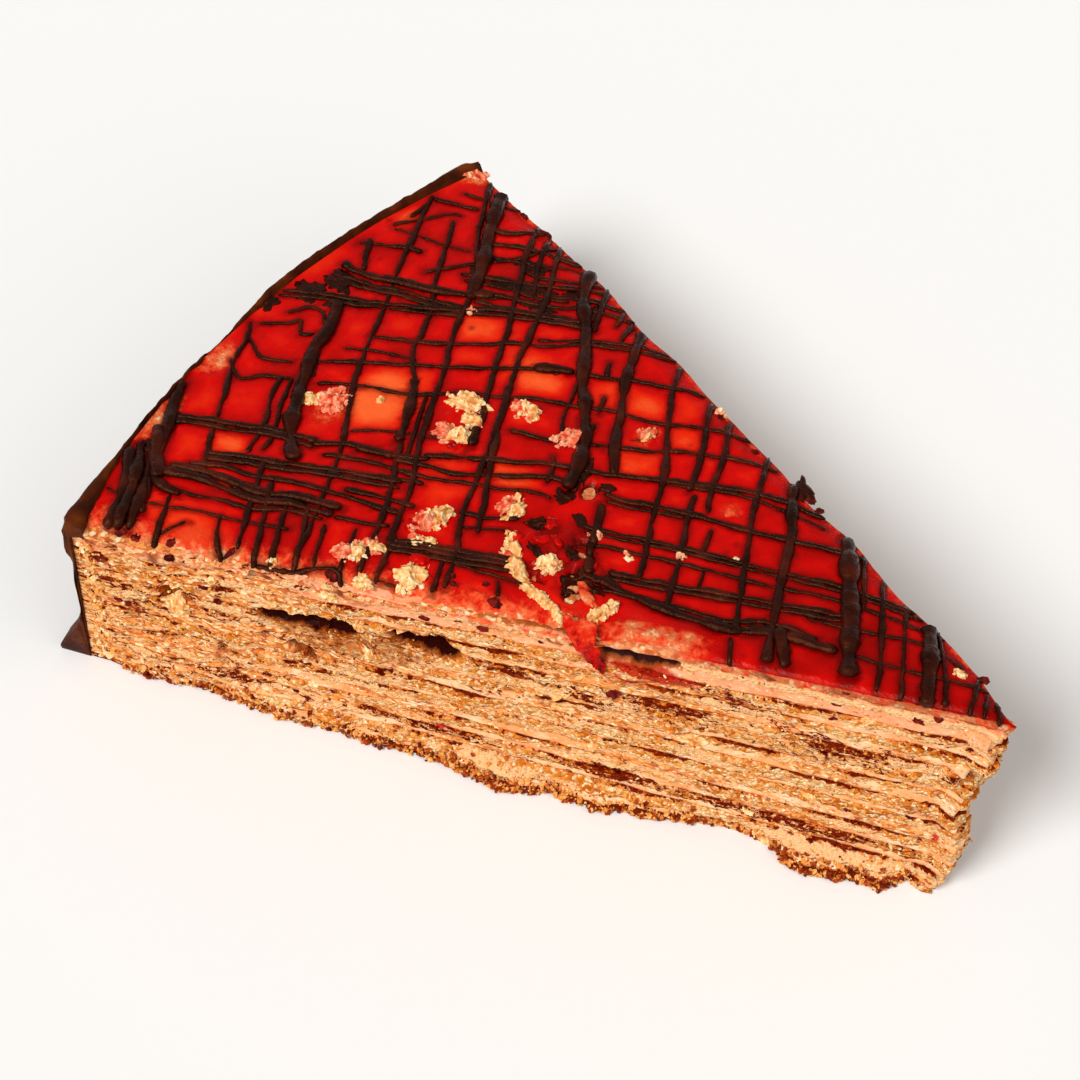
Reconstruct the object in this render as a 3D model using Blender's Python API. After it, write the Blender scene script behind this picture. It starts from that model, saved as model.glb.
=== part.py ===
"""A slice of a many-layered raspberry cake.

Thin biscuits and cream lie on each other from the tip to the round rim. A raspberry glaze with a net of
chocolate threads and a few cake crumbs covers the top, and a chocolate coat covers the rim.
Lengths are in metres. The slice's middle line runs along X, with the tip at +X and the rim at -X.
"""

import math

import bmesh
import bpy
from mathutils import Matrix, Vector, noise

# The slice. It is shaped with its tip over the origin, and moved at the end so that its box is centred there.
CAKE_RADIUS = 0.1235
SLICE_ANGLE = math.radians(41.3)
TIP_HEIGHT = 0.041
CORNER_HEIGHT = 0.030
TIP_AT = (0.0629, 0.0002, 0.0)
TIP_HALF_WIDTH = 0.0013
STATION_SPACING = 0.0050
RIM_STATIONS = 4
GAP = 0.0002

# Thickness of each layer at the tip, from the plate up. They thin out towards the rim with the height.
BISCUITS = (0.0012, 0.0018, 0.0020, 0.0019, 0.0025, 0.0031, 0.0014, 0.0022, 0.0020, 0.0018, 0.0018, 0.0013)
CREAMS = (0.0009, 0.0013, 0.0015, 0.0022, 0.0007, 0.0023, 0.0010, 0.0005, 0.0018, 0.0014, 0.0025, 0.0005)
GLAZE = 0.0014
LAYER_WAVE = 0.0006

# How far the cut sides of a biscuit and of a cream layer wander in and out
BISCUIT_RAGGED = 0.0008
CREAM_RAGGED = 0.0005
CREAM_RECESS = 0.0004
TIP_RAGGED = 0.0016

# Breaks in the near cut side: first and last distance from the tip, then depth. Below zero it stands out.
CREVICE = (0.064, 0.093, 0.0060)
CREVICE_LIP = (0.064, 0.093, 0.0022)
FLAP_HOLLOW = (0.0375, 0.0505, 0.0055)
CRUST_CRAGS = (
    (0.005, 0.024, -0.0026),
    (0.022, 0.033, 0.0008),
    (0.034, 0.056, -0.0022),
    (0.055, 0.069, -0.0028),
    (0.068, 0.096, -0.0016),
)

# The glaze's soft edge, and how much it swells
EDGE_WIDTH = 0.0032
EDGE_DROP = 0.0006
GLAZE_SWELL = 0.00025
GLAZE_COLUMNS = (-1.0, -0.93, -0.4, 0.1, 0.6, 0.93, 1.0)
GLAZE_INSET = 0.0010
FLAP_LIFT = 0.0010
FLAP_DEPTH = 0.0080

# The chocolate coat round the rim
COAT = 0.0018
COAT_AT_CORNER = 0.0013
COAT_FOOT = 0.0022
COAT_FOOT_AT_NEAR_CORNER = 0.0012
COAT_FOOT_HEIGHT = 0.0085
COAT_LIP = 0.0006
COAT_STEPS = 16

# Chocolate threads on the glaze, in millimetres: start and end (distance from the tip along the middle line,
# then sideways), and width. The first set runs from the far side to the near side, the second along the slice.
MM = 0.001
THREAD_POINTS = 3
THREAD_BOW = 0.4
THREAD_SINK = 0.00035
THREAD_RISE = 0.12
STEEP_THREADS = (
    (119, 34, 91, -31, 0.9),
    (113, 33, 84, -24, 0.9),
    (111, 40, 80, -22, 1.1),
    (107, 37, 101, 21, 1.4),
    (102, 38, 84, 1, 1.0),
    (94, 34, 71, -22, 1.2),
    (88, 32, 68, 1, 1.6),
    (83, 10, 70, -17, 1.0),
    (77, 29, 57, -9, 1.3),
    (68, 26, 51, -8, 1.1),
    (62, 24, 46, -9, 1.1),
    (57, 22, 48, 3, 0.8),
    (49, 19, 37, -7, 1.0),
    (44, 16, 31, -7, 1.3),
    (31, 11, 22, -4, 2.2),
    (25, 9, 18, -3, 0.9),
    (16, 6, 11, -2, 1.9),
    (6, 2, 5, -1, 0.8),
    (115, 8, 103, -17, 2.0),
    (122, -2, 109, -29, 0.8),
    (113, -7, 107, -21, 0.9),
    (104, -20, 97, -33, 0.9),
    (120, -22, 113, -39, 2.2),
    (117, -22, 111, -36, 2.0),
)
LONG_THREADS = (
    (107, 34, 101, 37, 2.0),
    (120, 21, 100, 31, 0.9),
    (105, 22, 84, 31, 1.6),
    (101, 24, 86, 30, 1.3),
    (120, 13, 103, 20, 1.8),
    (122, 5, 84, 26, 1.2),
    (110, 3, 72, 27, 0.9),
    (111, 1, 62, 24, 1.0),
    (109, -5, 53, 21, 0.9),
    (80, 4, 46, 18, 1.0),
    (118, -21, 88, -7, 1.5),
    (88, -7, 38, 15, 1.2),
    (86, -9, 31, 11, 1.1),
    (62, -5, 20, 8, 1.0),
    (61, -7, 18, 6, 0.8),
    (55, -10, 27, 1, 1.3),
    (57, -12, 24, -2, 1.8),
    (111, -25, 85, -12, 1.7),
    (103, -25, 84, -15, 0.9),
    (113, -32, 93, -24, 2.4),
    (83, -24, 65, -15, 2.4),
    (118, -10, 110, -6, 0.9),
)

# Crumbs on the glaze, in millimetres: distance from the tip, sideways, length, width, and turn in degrees
CRUMB_HEIGHT = 0.45
SMALL_CRUMB = 3.4
CRUMBS = (
    (88.5, 4.6, 5.4, 3.2, 20),
    (86.0, 2.3, 3.2, 2.6, 0),
    (86.6, -1.2, 4.6, 3.6, 15),
    (81.0, 8.0, 3.6, 3.2, 0),
    (73.0, 7.0, 3.0, 3.8, -20),
    (107.0, -7.6, 2.4, 2.2, 0),
    (79.2, -15.2, 5.2, 3.8, 60),
    (78.0, -19.0, 3.2, 1.8, 10),
    (75.4, -24.6, 3.6, 4.2, -20),
    (84.4, -26.0, 3.8, 3.4, 40),
    (71.8, -7.4, 3.2, 3.4, 0),
    (61.8, -12.6, 3.0, 2.6, 20),
    (64.6, -15.6, 5.2, 2.2, -38),
    (60.2, -17.4, 5.4, 2.1, -6),
    (55.6, -18.0, 5.2, 1.9, 2),
    (51.6, -14.8, 1.7, 3.4, 5),
    (9.4, 2.6, 1.8, 1.5, 0),
)

MODEL = bpy.data.collections.new("raspberry_cake_slice")
TOPPINGS = bpy.data.collections.new("toppings")


def clear_scene():
    for obj in list(bpy.data.objects):
        bpy.data.objects.remove(obj, do_unlink=True)
    for collection in (MODEL, TOPPINGS):
        bpy.context.scene.collection.children.link(collection)


def material(name, rgb, roughness):
    """A food surface: its colour is given as 0 to 255 as the eye sees it, and made linear here."""
    made = bpy.data.materials.new(name)
    made.use_nodes = True
    shader = made.node_tree.nodes["Principled BSDF"]
    shader.inputs["Base Color"].default_value = (*((part / 255) ** 2.2 for part in rgb), 1.0)
    shader.inputs["Roughness"].default_value = roughness
    shader.inputs["Metallic"].default_value = 0.0
    return made


def add_object(name, bm, finish, collection=MODEL):
    bmesh.ops.recalc_face_normals(bm, faces=bm.faces[:])
    mesh = bpy.data.meshes.new(name)
    bm.to_mesh(mesh)
    bm.free()
    mesh.materials.append(finish)
    obj = bpy.data.objects.new(name, mesh)
    collection.objects.link(obj)
    return obj


def ease(t):
    t = min(max(t, 0.0), 1.0)
    return t * t * (3 - 2 * t)


def wander(x, layer, side):
    """A value from about -1 to 1 that changes from crumb to crumb along a cut side."""
    return 1.6 * noise.noise(Vector((x * 210, layer * 5.3 + 0.7, side * 9.1)))


def height(x):
    """The top of the slice: it falls in a straight line from the tip to the rim's corners."""
    return TIP_HEIGHT + (TIP_HEIGHT - CORNER_HEIGHT) * x / (CAKE_RADIUS * math.cos(SLICE_ANGLE / 2))


def level(share, x):
    """The height at x of the surface between two layers, where share is its place between plate and top."""
    x = max(x, -CAKE_RADIUS)
    nearest = round(x / STATION_SPACING) * STATION_SPACING
    wave = LAYER_WAVE * noise.noise(Vector((nearest * 28, 3.1, 0.0)))
    return height(x) * share + 4 * share * (1 - share) * wave


def half_width(x, radius=CAKE_RADIUS):
    """Half the slice's width at x: two straight cuts from the tip, then the round rim."""
    if -x > radius * math.cos(SLICE_ANGLE / 2):
        return math.sqrt(max(radius**2 - x**2, 0.0))
    return max(-x * math.tan(SLICE_ANGLE / 2), TIP_HALF_WIDTH)


def stations(radius):
    """Places along the slice where a layer has a pair of side points, from the rim to the tip."""
    corner = radius * math.cos(SLICE_ANGLE / 2)
    round_part = [
        -radius * math.cos(SLICE_ANGLE / 2 * (step + 0.35) / (RIM_STATIONS + 0.35))
        for step in range(RIM_STATIONS)
    ]
    count = round(corner / STATION_SPACING)
    return round_part + [-corner * (count - step) / count for step in range(count + 1)]


def bump(distance, first, last):
    """1 in the middle of a break and 0 at its ends."""
    middle, half = (first + last) / 2, (last - first) / 2
    return ease(1.5 - 1.5 * abs(distance - middle) / half)


def side_offset(x, layer, side, ragged, recess, breaks):
    """How far the cut side of a layer stands out from the clean cut."""
    from_rim = CAKE_RADIUS * math.cos(SLICE_ANGLE / 2) + x
    offset = (ragged * wander(x, layer, side) - recess) * ease(from_rim / STATION_SPACING)
    if side < 0:
        for first, last, depth in breaks:
            offset -= depth * bump(-x, first, last)
    return offset


def layer_solid(name, layer, low, high, finish, ragged, recess, breaks=()):
    """One biscuit or cream layer: a strip of quads shaped to the slice, then extruded to its lower side."""
    places = stations(CAKE_RADIUS)
    places[-1] = TIP_RAGGED * wander(0.0, layer * 2.9, 4)
    bm = bmesh.new()
    bmesh.ops.create_grid(bm, x_segments=len(places) - 1, y_segments=1, size=1.0)
    for vert in bm.verts:
        x = places[round((vert.co.x + 1) / 2 * (len(places) - 1))]
        side = 1 if vert.co.y > 0 else -1
        y = half_width(x) + side_offset(x, layer, side, ragged, recess, breaks)
        vert.co = (x, side * max(y, TIP_HALF_WIDTH * 0.6), level(high, x) - GAP / 2)
    made = bmesh.ops.extrude_face_region(bm, geom=bm.faces[:])["geom"]
    for vert in (part for part in made if isinstance(part, bmesh.types.BMVert)):
        bottom = level(low, vert.co.x)
        vert.co.z = bottom + GAP / 2 if low > 0 else 0.0
    return add_object(name, bm, finish)


def add_layers(biscuit, cream):
    """Stacks the biscuits and creams, and returns the share of the height where the glaze starts."""
    total = sum(BISCUITS) + sum(CREAMS) + GLAZE
    breaks = {
        "biscuit_01": CRUST_CRAGS,
        "cream_01": tuple((first, last, depth / 2) for first, last, depth in CRUST_CRAGS),
        "biscuit_09": (CREVICE_LIP,),
        "cream_09": (CREVICE,),
        "biscuit_12": (FLAP_HOLLOW,),
        "cream_12": (FLAP_HOLLOW,),
    }
    low = 0.0
    for number, thicknesses in enumerate(zip(BISCUITS, CREAMS), start=1):
        for kind, thickness in zip(("biscuit", "cream"), thicknesses):
            name = f"{kind}_{number:02d}"
            is_cream = kind == "cream"
            layer_solid(
                name,
                number * 2 + is_cream,
                low / total,
                (low + thickness) / total,
                cream if is_cream else biscuit,
                CREAM_RAGGED if is_cream else BISCUIT_RAGGED,
                CREAM_RECESS if is_cream else 0.0,
                breaks.get(name, ()),
            )
            low += thickness
    return low / total


def flap_lift(x, y):
    """How far the glaze stands up over the hollow in the near side."""
    inward = half_width(x) + y
    return FLAP_LIFT * bump(-x, *FLAP_HOLLOW[:2]) * (1 - ease(inward / FLAP_DEPTH))


def glaze_top(x, y):
    """The glaze's upper surface: level, softly swollen, and rounded down at the two cuts."""
    edge = half_width(x) - abs(y)
    drop = EDGE_DROP * (1 - ease(edge / EDGE_WIDTH))
    swell = GLAZE_SWELL * noise.noise(Vector((x * 60, y * 60, 2.0)))
    return height(x) + swell - drop + flap_lift(x, y)


def add_glaze(start, finish):
    """The raspberry glaze as a shallow slab with rounded edges."""
    places = stations(CAKE_RADIUS - GLAZE_INSET)
    places[-1] = -0.0002
    columns = len(GLAZE_COLUMNS) - 1
    bm = bmesh.new()
    bmesh.ops.create_grid(bm, x_segments=len(places) - 1, y_segments=columns, size=1.0)
    for vert in bm.verts:
        x = places[round((vert.co.x + 1) / 2 * (len(places) - 1))]
        across = GLAZE_COLUMNS[round((vert.co.y + 1) / 2 * columns)]
        y = across * half_width(x, CAKE_RADIUS - GLAZE_INSET)
        vert.co = (x, y, glaze_top(x, y))
    made = bmesh.ops.extrude_face_region(bm, geom=bm.faces[:])["geom"]
    for vert in (part for part in made if isinstance(part, bmesh.types.BMVert)):
        vert.co.z = level(start, vert.co.x) + GAP / 2 + flap_lift(vert.co.x, vert.co.y)
    return add_object("raspberry_glaze", bm, finish)


def inside_glaze(x, y, margin):
    limit = CAKE_RADIUS - GLAZE_INSET - margin
    near_cut = abs(y) > half_width(x) - margin
    return x < -margin and math.hypot(x, y) < limit and not near_cut


def thread_path(x0, y0, x1, y1, width):
    """Points along one thread on the glaze, without the ends that would hang over its edge."""
    def at(t):
        bow = THREAD_BOW * MM * math.sin(math.pi * t) * noise.noise(Vector((x0, y0, 5.0))) * 2
        return x0 + (x1 - x0) * t + bow, y0 + (y1 - y0) * t + bow

    steps = [step / 60 for step in range(61)]
    kept = [t for t in steps if inside_glaze(*at(t), width / 2 + 0.0004)]
    if not kept:
        return []
    first, last = kept[0], kept[-1]
    path = []
    for step in range(THREAD_POINTS):
        x, y = at(first + (last - first) * step / (THREAD_POINTS - 1))
        path.append((x, y, glaze_top(x, y) + THREAD_RISE * width))
    return path


def add_thread(number, thread, finish):
    """One chocolate thread: a tube along its path, with its underside pressed flat into the glaze."""
    *ends, width = (size * MM for size in thread)
    path = thread_path(-ends[0], ends[1], -ends[2], ends[3], width)
    if not path:
        return
    curve = bpy.data.curves.new(f"thread_{number:02d}", "CURVE")
    curve.dimensions = "3D"
    curve.bevel_depth = width / 2
    curve.bevel_resolution = 1
    curve.use_fill_caps = True
    spline = curve.splines.new("POLY")
    spline.points.add(len(path) - 1)
    for point, place in zip(spline.points, path):
        point.co = (*place, 1.0)
    guide = bpy.data.objects.new(curve.name, curve)
    bpy.context.scene.collection.objects.link(guide)
    graph = bpy.context.evaluated_depsgraph_get()
    mesh = bpy.data.meshes.new_from_object(guide.evaluated_get(graph))
    bpy.data.objects.remove(guide, do_unlink=True)
    bm = bmesh.new()
    bm.from_mesh(mesh)
    bmesh.ops.remove_doubles(bm, verts=bm.verts[:], dist=0.00001)
    sink = THREAD_SINK + 0.00001 * (number % 7)
    for vert in bm.verts:
        floor = glaze_top(vert.co.x, vert.co.y) - sink
        vert.co.z = max(vert.co.z, floor)
    add_object(curve.name, bm, finish, TOPPINGS)


def add_crumb(number, crumb, finish):
    """One broken bit of cake: a rough, flattened lump that sits in the glaze."""
    along, y, length, width, turn = crumb
    x = -along * MM
    y = y * MM
    bm = bmesh.new()
    fineness = 1 if max(length, width) < SMALL_CRUMB else 2
    bmesh.ops.create_icosphere(bm, subdivisions=fineness, radius=0.5)
    angle = math.radians(turn)
    for vert in bm.verts:
        rough = 1 + 0.35 * noise.noise(vert.co * 3.1 + Vector((number * 4.7, 0, 0)))
        local_x = vert.co.x * length * MM * rough
        local_y = vert.co.y * width * MM * rough
        tall = vert.co.z * CRUMB_HEIGHT * (length + width) * MM * rough
        px = x + local_x * math.cos(angle) - local_y * math.sin(angle)
        py = y + local_x * math.sin(angle) + local_y * math.cos(angle)
        vert.co = (px, py, glaze_top(px, py) + max(tall, -THREAD_SINK))
    add_object(f"crumb_{number:02d}", bm, finish, TOPPINGS)


def fuse_toppings(glaze):
    """Joins threads and crumbs with the glaze as one solid, and removes the loose ones."""
    union = glaze.modifiers.new("toppings", "BOOLEAN")
    union.operation = "UNION"
    union.operand_type = "COLLECTION"
    union.collection = TOPPINGS
    union.solver = "EXACT"
    graph = bpy.context.evaluated_depsgraph_get()
    fused = bpy.data.meshes.new_from_object(glaze.evaluated_get(graph))
    glaze.modifiers.clear()
    glaze.data = fused
    for obj in list(TOPPINGS.objects):
        bpy.data.objects.remove(obj, do_unlink=True)
    bpy.data.collections.remove(TOPPINGS)


def coat_profile(angle, start):
    """The coat's section at one angle, as (distance from the tip's axis, height), starting inside at the plate."""
    share = angle / (SLICE_ANGLE / 2)
    near = ease(-share * 4 - 3)
    uneven = 0.0004 * noise.noise(Vector((angle * 14, 7.0, 0.0)))
    outer = CAKE_RADIUS + COAT + COAT_AT_CORNER * share**6 + uneven
    foot = outer + COAT_FOOT * (0.6 + 0.5 * noise.noise(Vector((angle * 9, 1.0, 0.0))))
    foot += COAT_FOOT_AT_NEAR_CORNER * near
    inner = CAKE_RADIUS + GAP
    lip = CAKE_RADIUS - COAT_LIP
    x = -CAKE_RADIUS * math.cos(angle)
    cream = level(start, x) + GAP
    top = height(x)
    return (
        (inner, 0.0),
        (inner, cream),
        (lip, cream),
        (lip, top + 0.0001),
        (lip + 0.0009, top + 0.0004),
        (outer - 0.0011, top - 0.0001),
        (outer - 0.0003, top - 0.0012),
        (outer, top - 0.0030),
        (outer, COAT_FOOT_HEIGHT),
        ((outer + foot) / 2, COAT_FOOT_HEIGHT * 0.6),
        (foot, COAT_FOOT_HEIGHT * 0.3),
        (foot - 0.0003, 0.0),
    )


def add_coat(start, finish):
    """The chocolate coat: its section is swept round the rim, and each turned section takes its own shape."""
    bm = bmesh.new()
    first = -SLICE_ANGLE / 2
    ring = [bm.verts.new((-radius, 0.0, z)) for radius, z in coat_profile(first, start)]
    face = bm.faces.new(ring)
    edges = list(face.edges)
    bmesh.ops.delete(bm, geom=[face], context="FACES_ONLY")
    bmesh.ops.spin(
        bm,
        geom=ring + edges,
        cent=(0, 0, 0),
        axis=(0, 0, 1),
        angle=SLICE_ANGLE,
        steps=COAT_STEPS,
        use_duplicate=False,
    )
    count = len(ring)
    bm.verts.ensure_lookup_table()
    for vert in bm.verts:
        step, point = divmod(vert.index, count)
        angle = first + SLICE_ANGLE * step / COAT_STEPS
        radius, z = coat_profile(angle, start)[point]
        vert.co = (-radius * math.cos(angle), radius * math.sin(angle), z)
    bmesh.ops.holes_fill(bm, edges=[edge for edge in bm.edges if edge.is_boundary], sides=0)
    bmesh.ops.triangulate(bm, faces=[face for face in bm.faces if len(face.verts) > 4])
    return add_object("chocolate_side", bm, finish)


def main():
    clear_scene()
    biscuit = material("baked honey biscuit", (214, 138, 70), 0.85)
    cream = material("raspberry butter cream", (240, 178, 132), 0.55)
    glaze = material("set raspberry glaze", (196, 12, 8), 0.15)
    chocolate = material("dark chocolate coat", (66, 30, 16), 0.35)
    glaze_start = add_layers(biscuit, cream)
    top = add_glaze(glaze_start, glaze)
    for number, thread in enumerate(STEEP_THREADS + LONG_THREADS):
        add_thread(number, thread, chocolate)
    for number, crumb in enumerate(CRUMBS):
        add_crumb(number, crumb, biscuit)
    fuse_toppings(top)
    add_coat(glaze_start, chocolate)
    for obj in MODEL.objects:
        obj.data.transform(Matrix.Translation(TIP_AT))


main()
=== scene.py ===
import math
import random

import bmesh
import bpy
from mathutils import Matrix, Vector, noise
from mathutils.kdtree import KDTree


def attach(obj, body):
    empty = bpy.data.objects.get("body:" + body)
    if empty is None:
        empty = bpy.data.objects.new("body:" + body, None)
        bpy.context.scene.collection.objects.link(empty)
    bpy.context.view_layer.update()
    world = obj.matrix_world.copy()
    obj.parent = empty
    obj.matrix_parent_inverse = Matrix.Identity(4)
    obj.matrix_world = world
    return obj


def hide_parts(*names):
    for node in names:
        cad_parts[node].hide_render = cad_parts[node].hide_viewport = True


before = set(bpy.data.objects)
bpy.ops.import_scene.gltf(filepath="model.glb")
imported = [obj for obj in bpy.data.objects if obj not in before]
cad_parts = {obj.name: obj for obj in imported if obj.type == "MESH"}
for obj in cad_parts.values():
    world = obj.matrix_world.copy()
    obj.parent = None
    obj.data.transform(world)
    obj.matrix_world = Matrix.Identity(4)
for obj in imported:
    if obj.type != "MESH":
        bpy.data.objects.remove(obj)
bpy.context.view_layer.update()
print("frame loaded")

# Shapes are made in millimetres with the slice's tip over the origin and its middle line along -X,
# and finishPiece moves them into the row frame.
mm = 0.001

cake = {
    "radius": 123.5,
    "halfAngle": math.radians(41.3) / 2,
    "tipHeight": 41.0,
    "cornerHeight": 30.0,
    "tipAt": (62.9, 0.2),
    "tipHalfWidth": 1.3,
    "cornerY": 43.5,  # how far the corners at the rim are from the middle line
    "biscuits": (1.2, 1.8, 2.0, 1.9, 2.5, 3.1, 1.4, 2.2, 2.0, 1.8, 1.8, 1.3),  # from the plate up, at the tip
    "creams": (0.9, 1.3, 1.5, 2.2, 0.7, 2.3, 1.0, 0.5, 1.8, 1.4, 2.5, 0.5),
    "glaze": 1.4,
    "wave": 0.6,  # how far the layers rise and fall
    "wobble": 0.28,  # the smaller ups and downs that show at a cut
    "crushedFrom": 62,  # distance from the tip where the layers begin to look crushed
}
cutSine, cutCosine = math.sin(cake["halfAngle"]), math.cos(cake["halfAngle"])
cutSlope = math.tan(cake["halfAngle"])
cornerX = -cake["radius"] * cutCosine


def ease(t):
    t = min(max(t, 0.0), 1.0)
    return t * t * (3 - 2 * t)


def mix(a, b, t):
    return a + (b - a) * t


def noiseAt(x, y, z):
    return noise.noise(Vector((x, y, z)))


def bump(distance, first, last):
    # 1 in the middle of a stretch and 0 at its ends
    middle, half = (first + last) / 2, (last - first) / 2
    return ease(1.5 - 1.5 * abs(distance - middle) / half)


def height(x):
    return cake["tipHeight"] + (cake["tipHeight"] - cake["cornerHeight"]) * x / -cornerX


def level(share, x):
    x = max(x, -cake["radius"])
    wave = cake["wave"] * noiseAt(x * 0.028, 3.1, 0.0)
    return height(x) * share + 4 * share * (1 - share) * wave


def cutLevel(share, x, side):
    # a layer's border where it shows at a cut
    rough = noiseAt(x * 0.13, share * 9.0, side * 3.7)
    fine = noiseAt(x * 0.55, share * 23.0, side * 5.1)
    wobble = cake["wobble"] * (1 + 3.0 * ease((-x - cake["crushedFrom"]) / 38))
    return level(share, x) + 4 * share * (1 - share) * wobble * (rough + 0.55 * fine)


def turned(x, y, along, across, angle):
    # the place that lies this far along and across from x, y, when those directions are turned by the angle
    return (x + along * math.cos(angle) - across * math.sin(angle),
            y + along * math.sin(angle) + across * math.cos(angle))


def halfWidth(x, radius=cake["radius"]):
    if -x > radius * cutCosine:
        return math.sqrt(max(radius**2 - x**2, 0.0))
    return max(-x * cutSlope, cake["tipHalfWidth"])


def listLayers():
    total = sum(cake["biscuits"]) + sum(cake["creams"]) + cake["glaze"]
    found = []
    low = 0.0
    for number, pair in enumerate(zip(cake["biscuits"], cake["creams"]), start=1):
        for kind, thickness in zip(("biscuit", "cream"), pair):
            found.append({
                "kind": kind,
                "node": f"{kind}_{number:02d}",
                "seed": number * 2 + (kind == "cream"),
                "low": low / total,
                "high": (low + thickness) / total,
                "thickness": thickness,
            })
            low += thickness
    return found


layers = listLayers()
glazeStart = layers[-1]["high"]


def linear(hexColour):
    parts = [int(hexColour[at:at + 2], 16) / 255 for at in (1, 3, 5)]
    return (*(part / 12.92 if part <= 0.04045 else ((part + 0.055) / 1.055) ** 2.4 for part in parts), 1.0)


def addNode(tree, kind, inputs=None, stops=None, **settings):
    # one node with its settings, the values or links of its inputs and, for a ramp, its colour stops
    node = tree.nodes.new("ShaderNode" + kind)
    for name, value in settings.items():
        setattr(node, name, value)
    for key, value in (inputs or {}).items():
        if isinstance(value, str):
            value = linear(value)
        if isinstance(value, bpy.types.NodeSocket):
            tree.links.new(value, node.inputs[key])
        else:
            node.inputs[key].default_value = value
    if stops:
        elements = node.color_ramp.elements
        while len(elements) < len(stops):
            elements.new(0.5)
        for element, (place, colour) in zip(elements, stops):
            element.position = place
            element.color = linear(colour) if isinstance(colour, str) else (colour, colour, colour, 1.0)
    return node


def newMaterial(name):
    made = bpy.data.materials.new(name)
    made.use_nodes = True
    tree = made.node_tree
    tree.nodes.clear()
    return made, tree, addNode(tree, "TexCoord").outputs["Object"]


def stretched(tree, place, x, y, z):
    # the same place with its axes scaled, so that a pattern comes out longer or flatter
    return addNode(tree, "Mapping", {"Vector": place, "Scale": (x, y, z)}).outputs[0]


def mottle(tree, place, size, detail, roughness=0.5, output="Fac"):
    # a noise pattern with features of this many millimetres
    inputs = {"Vector": place, "Scale": 1000 / size, "Detail": detail, "Roughness": roughness}
    return addNode(tree, "TexNoise", inputs).outputs[output]


def painted(tree, name):
    # a value that the shapes hold at each vertex
    return addNode(tree, "Attribute", attribute_name=name).outputs["Fac"]


def remap(tree, value, first, last, high=1.0, low=0.0):
    # goes from low at the first value to high at the last
    return addNode(tree, "MapRange", {0: value, 1: first, 2: last, 3: low, 4: high}).outputs[0]


def ramp(tree, value, *stops):
    return addNode(tree, "ValToRGB", {0: value}, stops=stops).outputs[0]


def blend(tree, share, first, second):
    # the first colour where the share is 0 and the second where it is 1
    return addNode(tree, "Mix", {0: share, 6: first, 7: second}, data_type="RGBA").outputs[2]


def plus(tree, first, second):
    return addNode(tree, "Math", {0: first, 1: second}, operation="ADD").outputs[0]


def scaled(tree, value, factor, offset):
    return addNode(tree, "Math", {0: value, 1: factor, 2: offset}, operation="MULTIPLY_ADD").outputs[0]


def finishMaterial(made, tree, relief, strength, depth, inputs):
    # relief is a pattern, raised by at most this many millimetres
    raised = addNode(tree, "Bump", {"Height": relief, "Strength": strength, "Distance": depth * mm})
    shader = addNode(tree, "BsdfPrincipled", {"Normal": raised.outputs[0], **inputs})
    addNode(tree, "OutputMaterial", {0: shader.outputs[0]})
    return made


# Honey biscuit, baked dry and cut across: a matte open crumb in ochre, each grain in its own tone with
# painted shade in the gaps between them, and a toasted red brown skin that shows as broken dashes along the
# edges of each biscuit.
def honeyBiscuit():
    made, tree, place = newMaterial("baked honey biscuit")
    flat = stretched(tree, place, 1.0, 1.0, 1.35)
    patches = mottle(tree, flat, 5.0, 4.0)
    body = ramp(tree, patches, (0.30, "#C8620C"), (0.40, "#E6821E"), (0.51, "#F99E40"), (0.66, "#FFC47C"))
    grains, gapShade, relief = addGrains(tree, flat, 0.5)
    paler = blend(tree, remap(tree, grains, 0.55, 0.9, 0.9), body, "#FFE8B4")
    browner = blend(tree, remap(tree, grains, 0.30, 0.08, 0.7), paler, "#BE580C")
    # painted shade in the gaps between the grains
    gapped = blend(tree, gapShade, browner, "#9A2E02")
    smearEdge = mottle(tree, stretched(tree, place, 0.65, 0.65, 1.3), 1.4, 6.0, 0.68)
    smear = plus(tree, painted(tree, "smear"), smearEdge)
    creamy = blend(tree, remap(tree, smear, 0.87, 0.95), gapped, "#FEC489")
    stained = addJuiceAndBreakShade(tree, place, addToast(tree, flat, creamy, grains))
    return finishMaterial(made, tree, plus(tree, relief, smearEdge), 0.9, 0.3, {
        "Base Color": stained, "Roughness": 0.85, "IOR": 1.4, "Specular IOR Level": 0.05})


def addGrains(tree, flat, size):
    # baked grains: a tone for each, the painted shade in the gaps between them, and their relief
    warp = mottle(tree, flat, 0.9, 3.0, output="Color")
    shift = addNode(tree, "VectorMath", {0: warp, 1: (0.7 * mm,) * 3}, operation="MULTIPLY")
    moved = addNode(tree, "VectorMath", {0: flat, 1: shift.outputs[0]}, operation="ADD").outputs[0]
    cells = addNode(tree, "TexVoronoi", {"Vector": moved, "Scale": 1000 / size})
    shade = addNode(tree, "SeparateColor", {0: cells.outputs["Color"]}).outputs[0]
    gapShade = remap(tree, cells.outputs["Distance"], 0.45, 0.75, 0.4)
    relief = remap(tree, cells.outputs["Distance"], 0.8, 0.1)
    return shade, gapShade, relief


def addToast(tree, flat, colour, grains):
    # dark dashes of toasted crust, more of them and longer where the attribute is higher
    dashes = mottle(tree, stretched(tree, flat, 0.7, 0.7, 1.0), 0.8, 5.0, 0.72)
    reach = scaled(tree, painted(tree, "toast"), 0.45, scaled(tree, grains, 0.14, 0.15))
    excess = addNode(tree, "Math", {0: reach, 1: dashes}, operation="SUBTRACT").outputs[0]
    warm = blend(tree, remap(tree, excess, -0.05, 0.02, 0.6), colour, "#C04A08")
    hue = ramp(tree, dashes, (0.25, "#380700"), (0.42, "#621001"), (0.58, "#8E2A04"))
    return blend(tree, remap(tree, excess, -0.01, 0.03), warm, hue)


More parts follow.
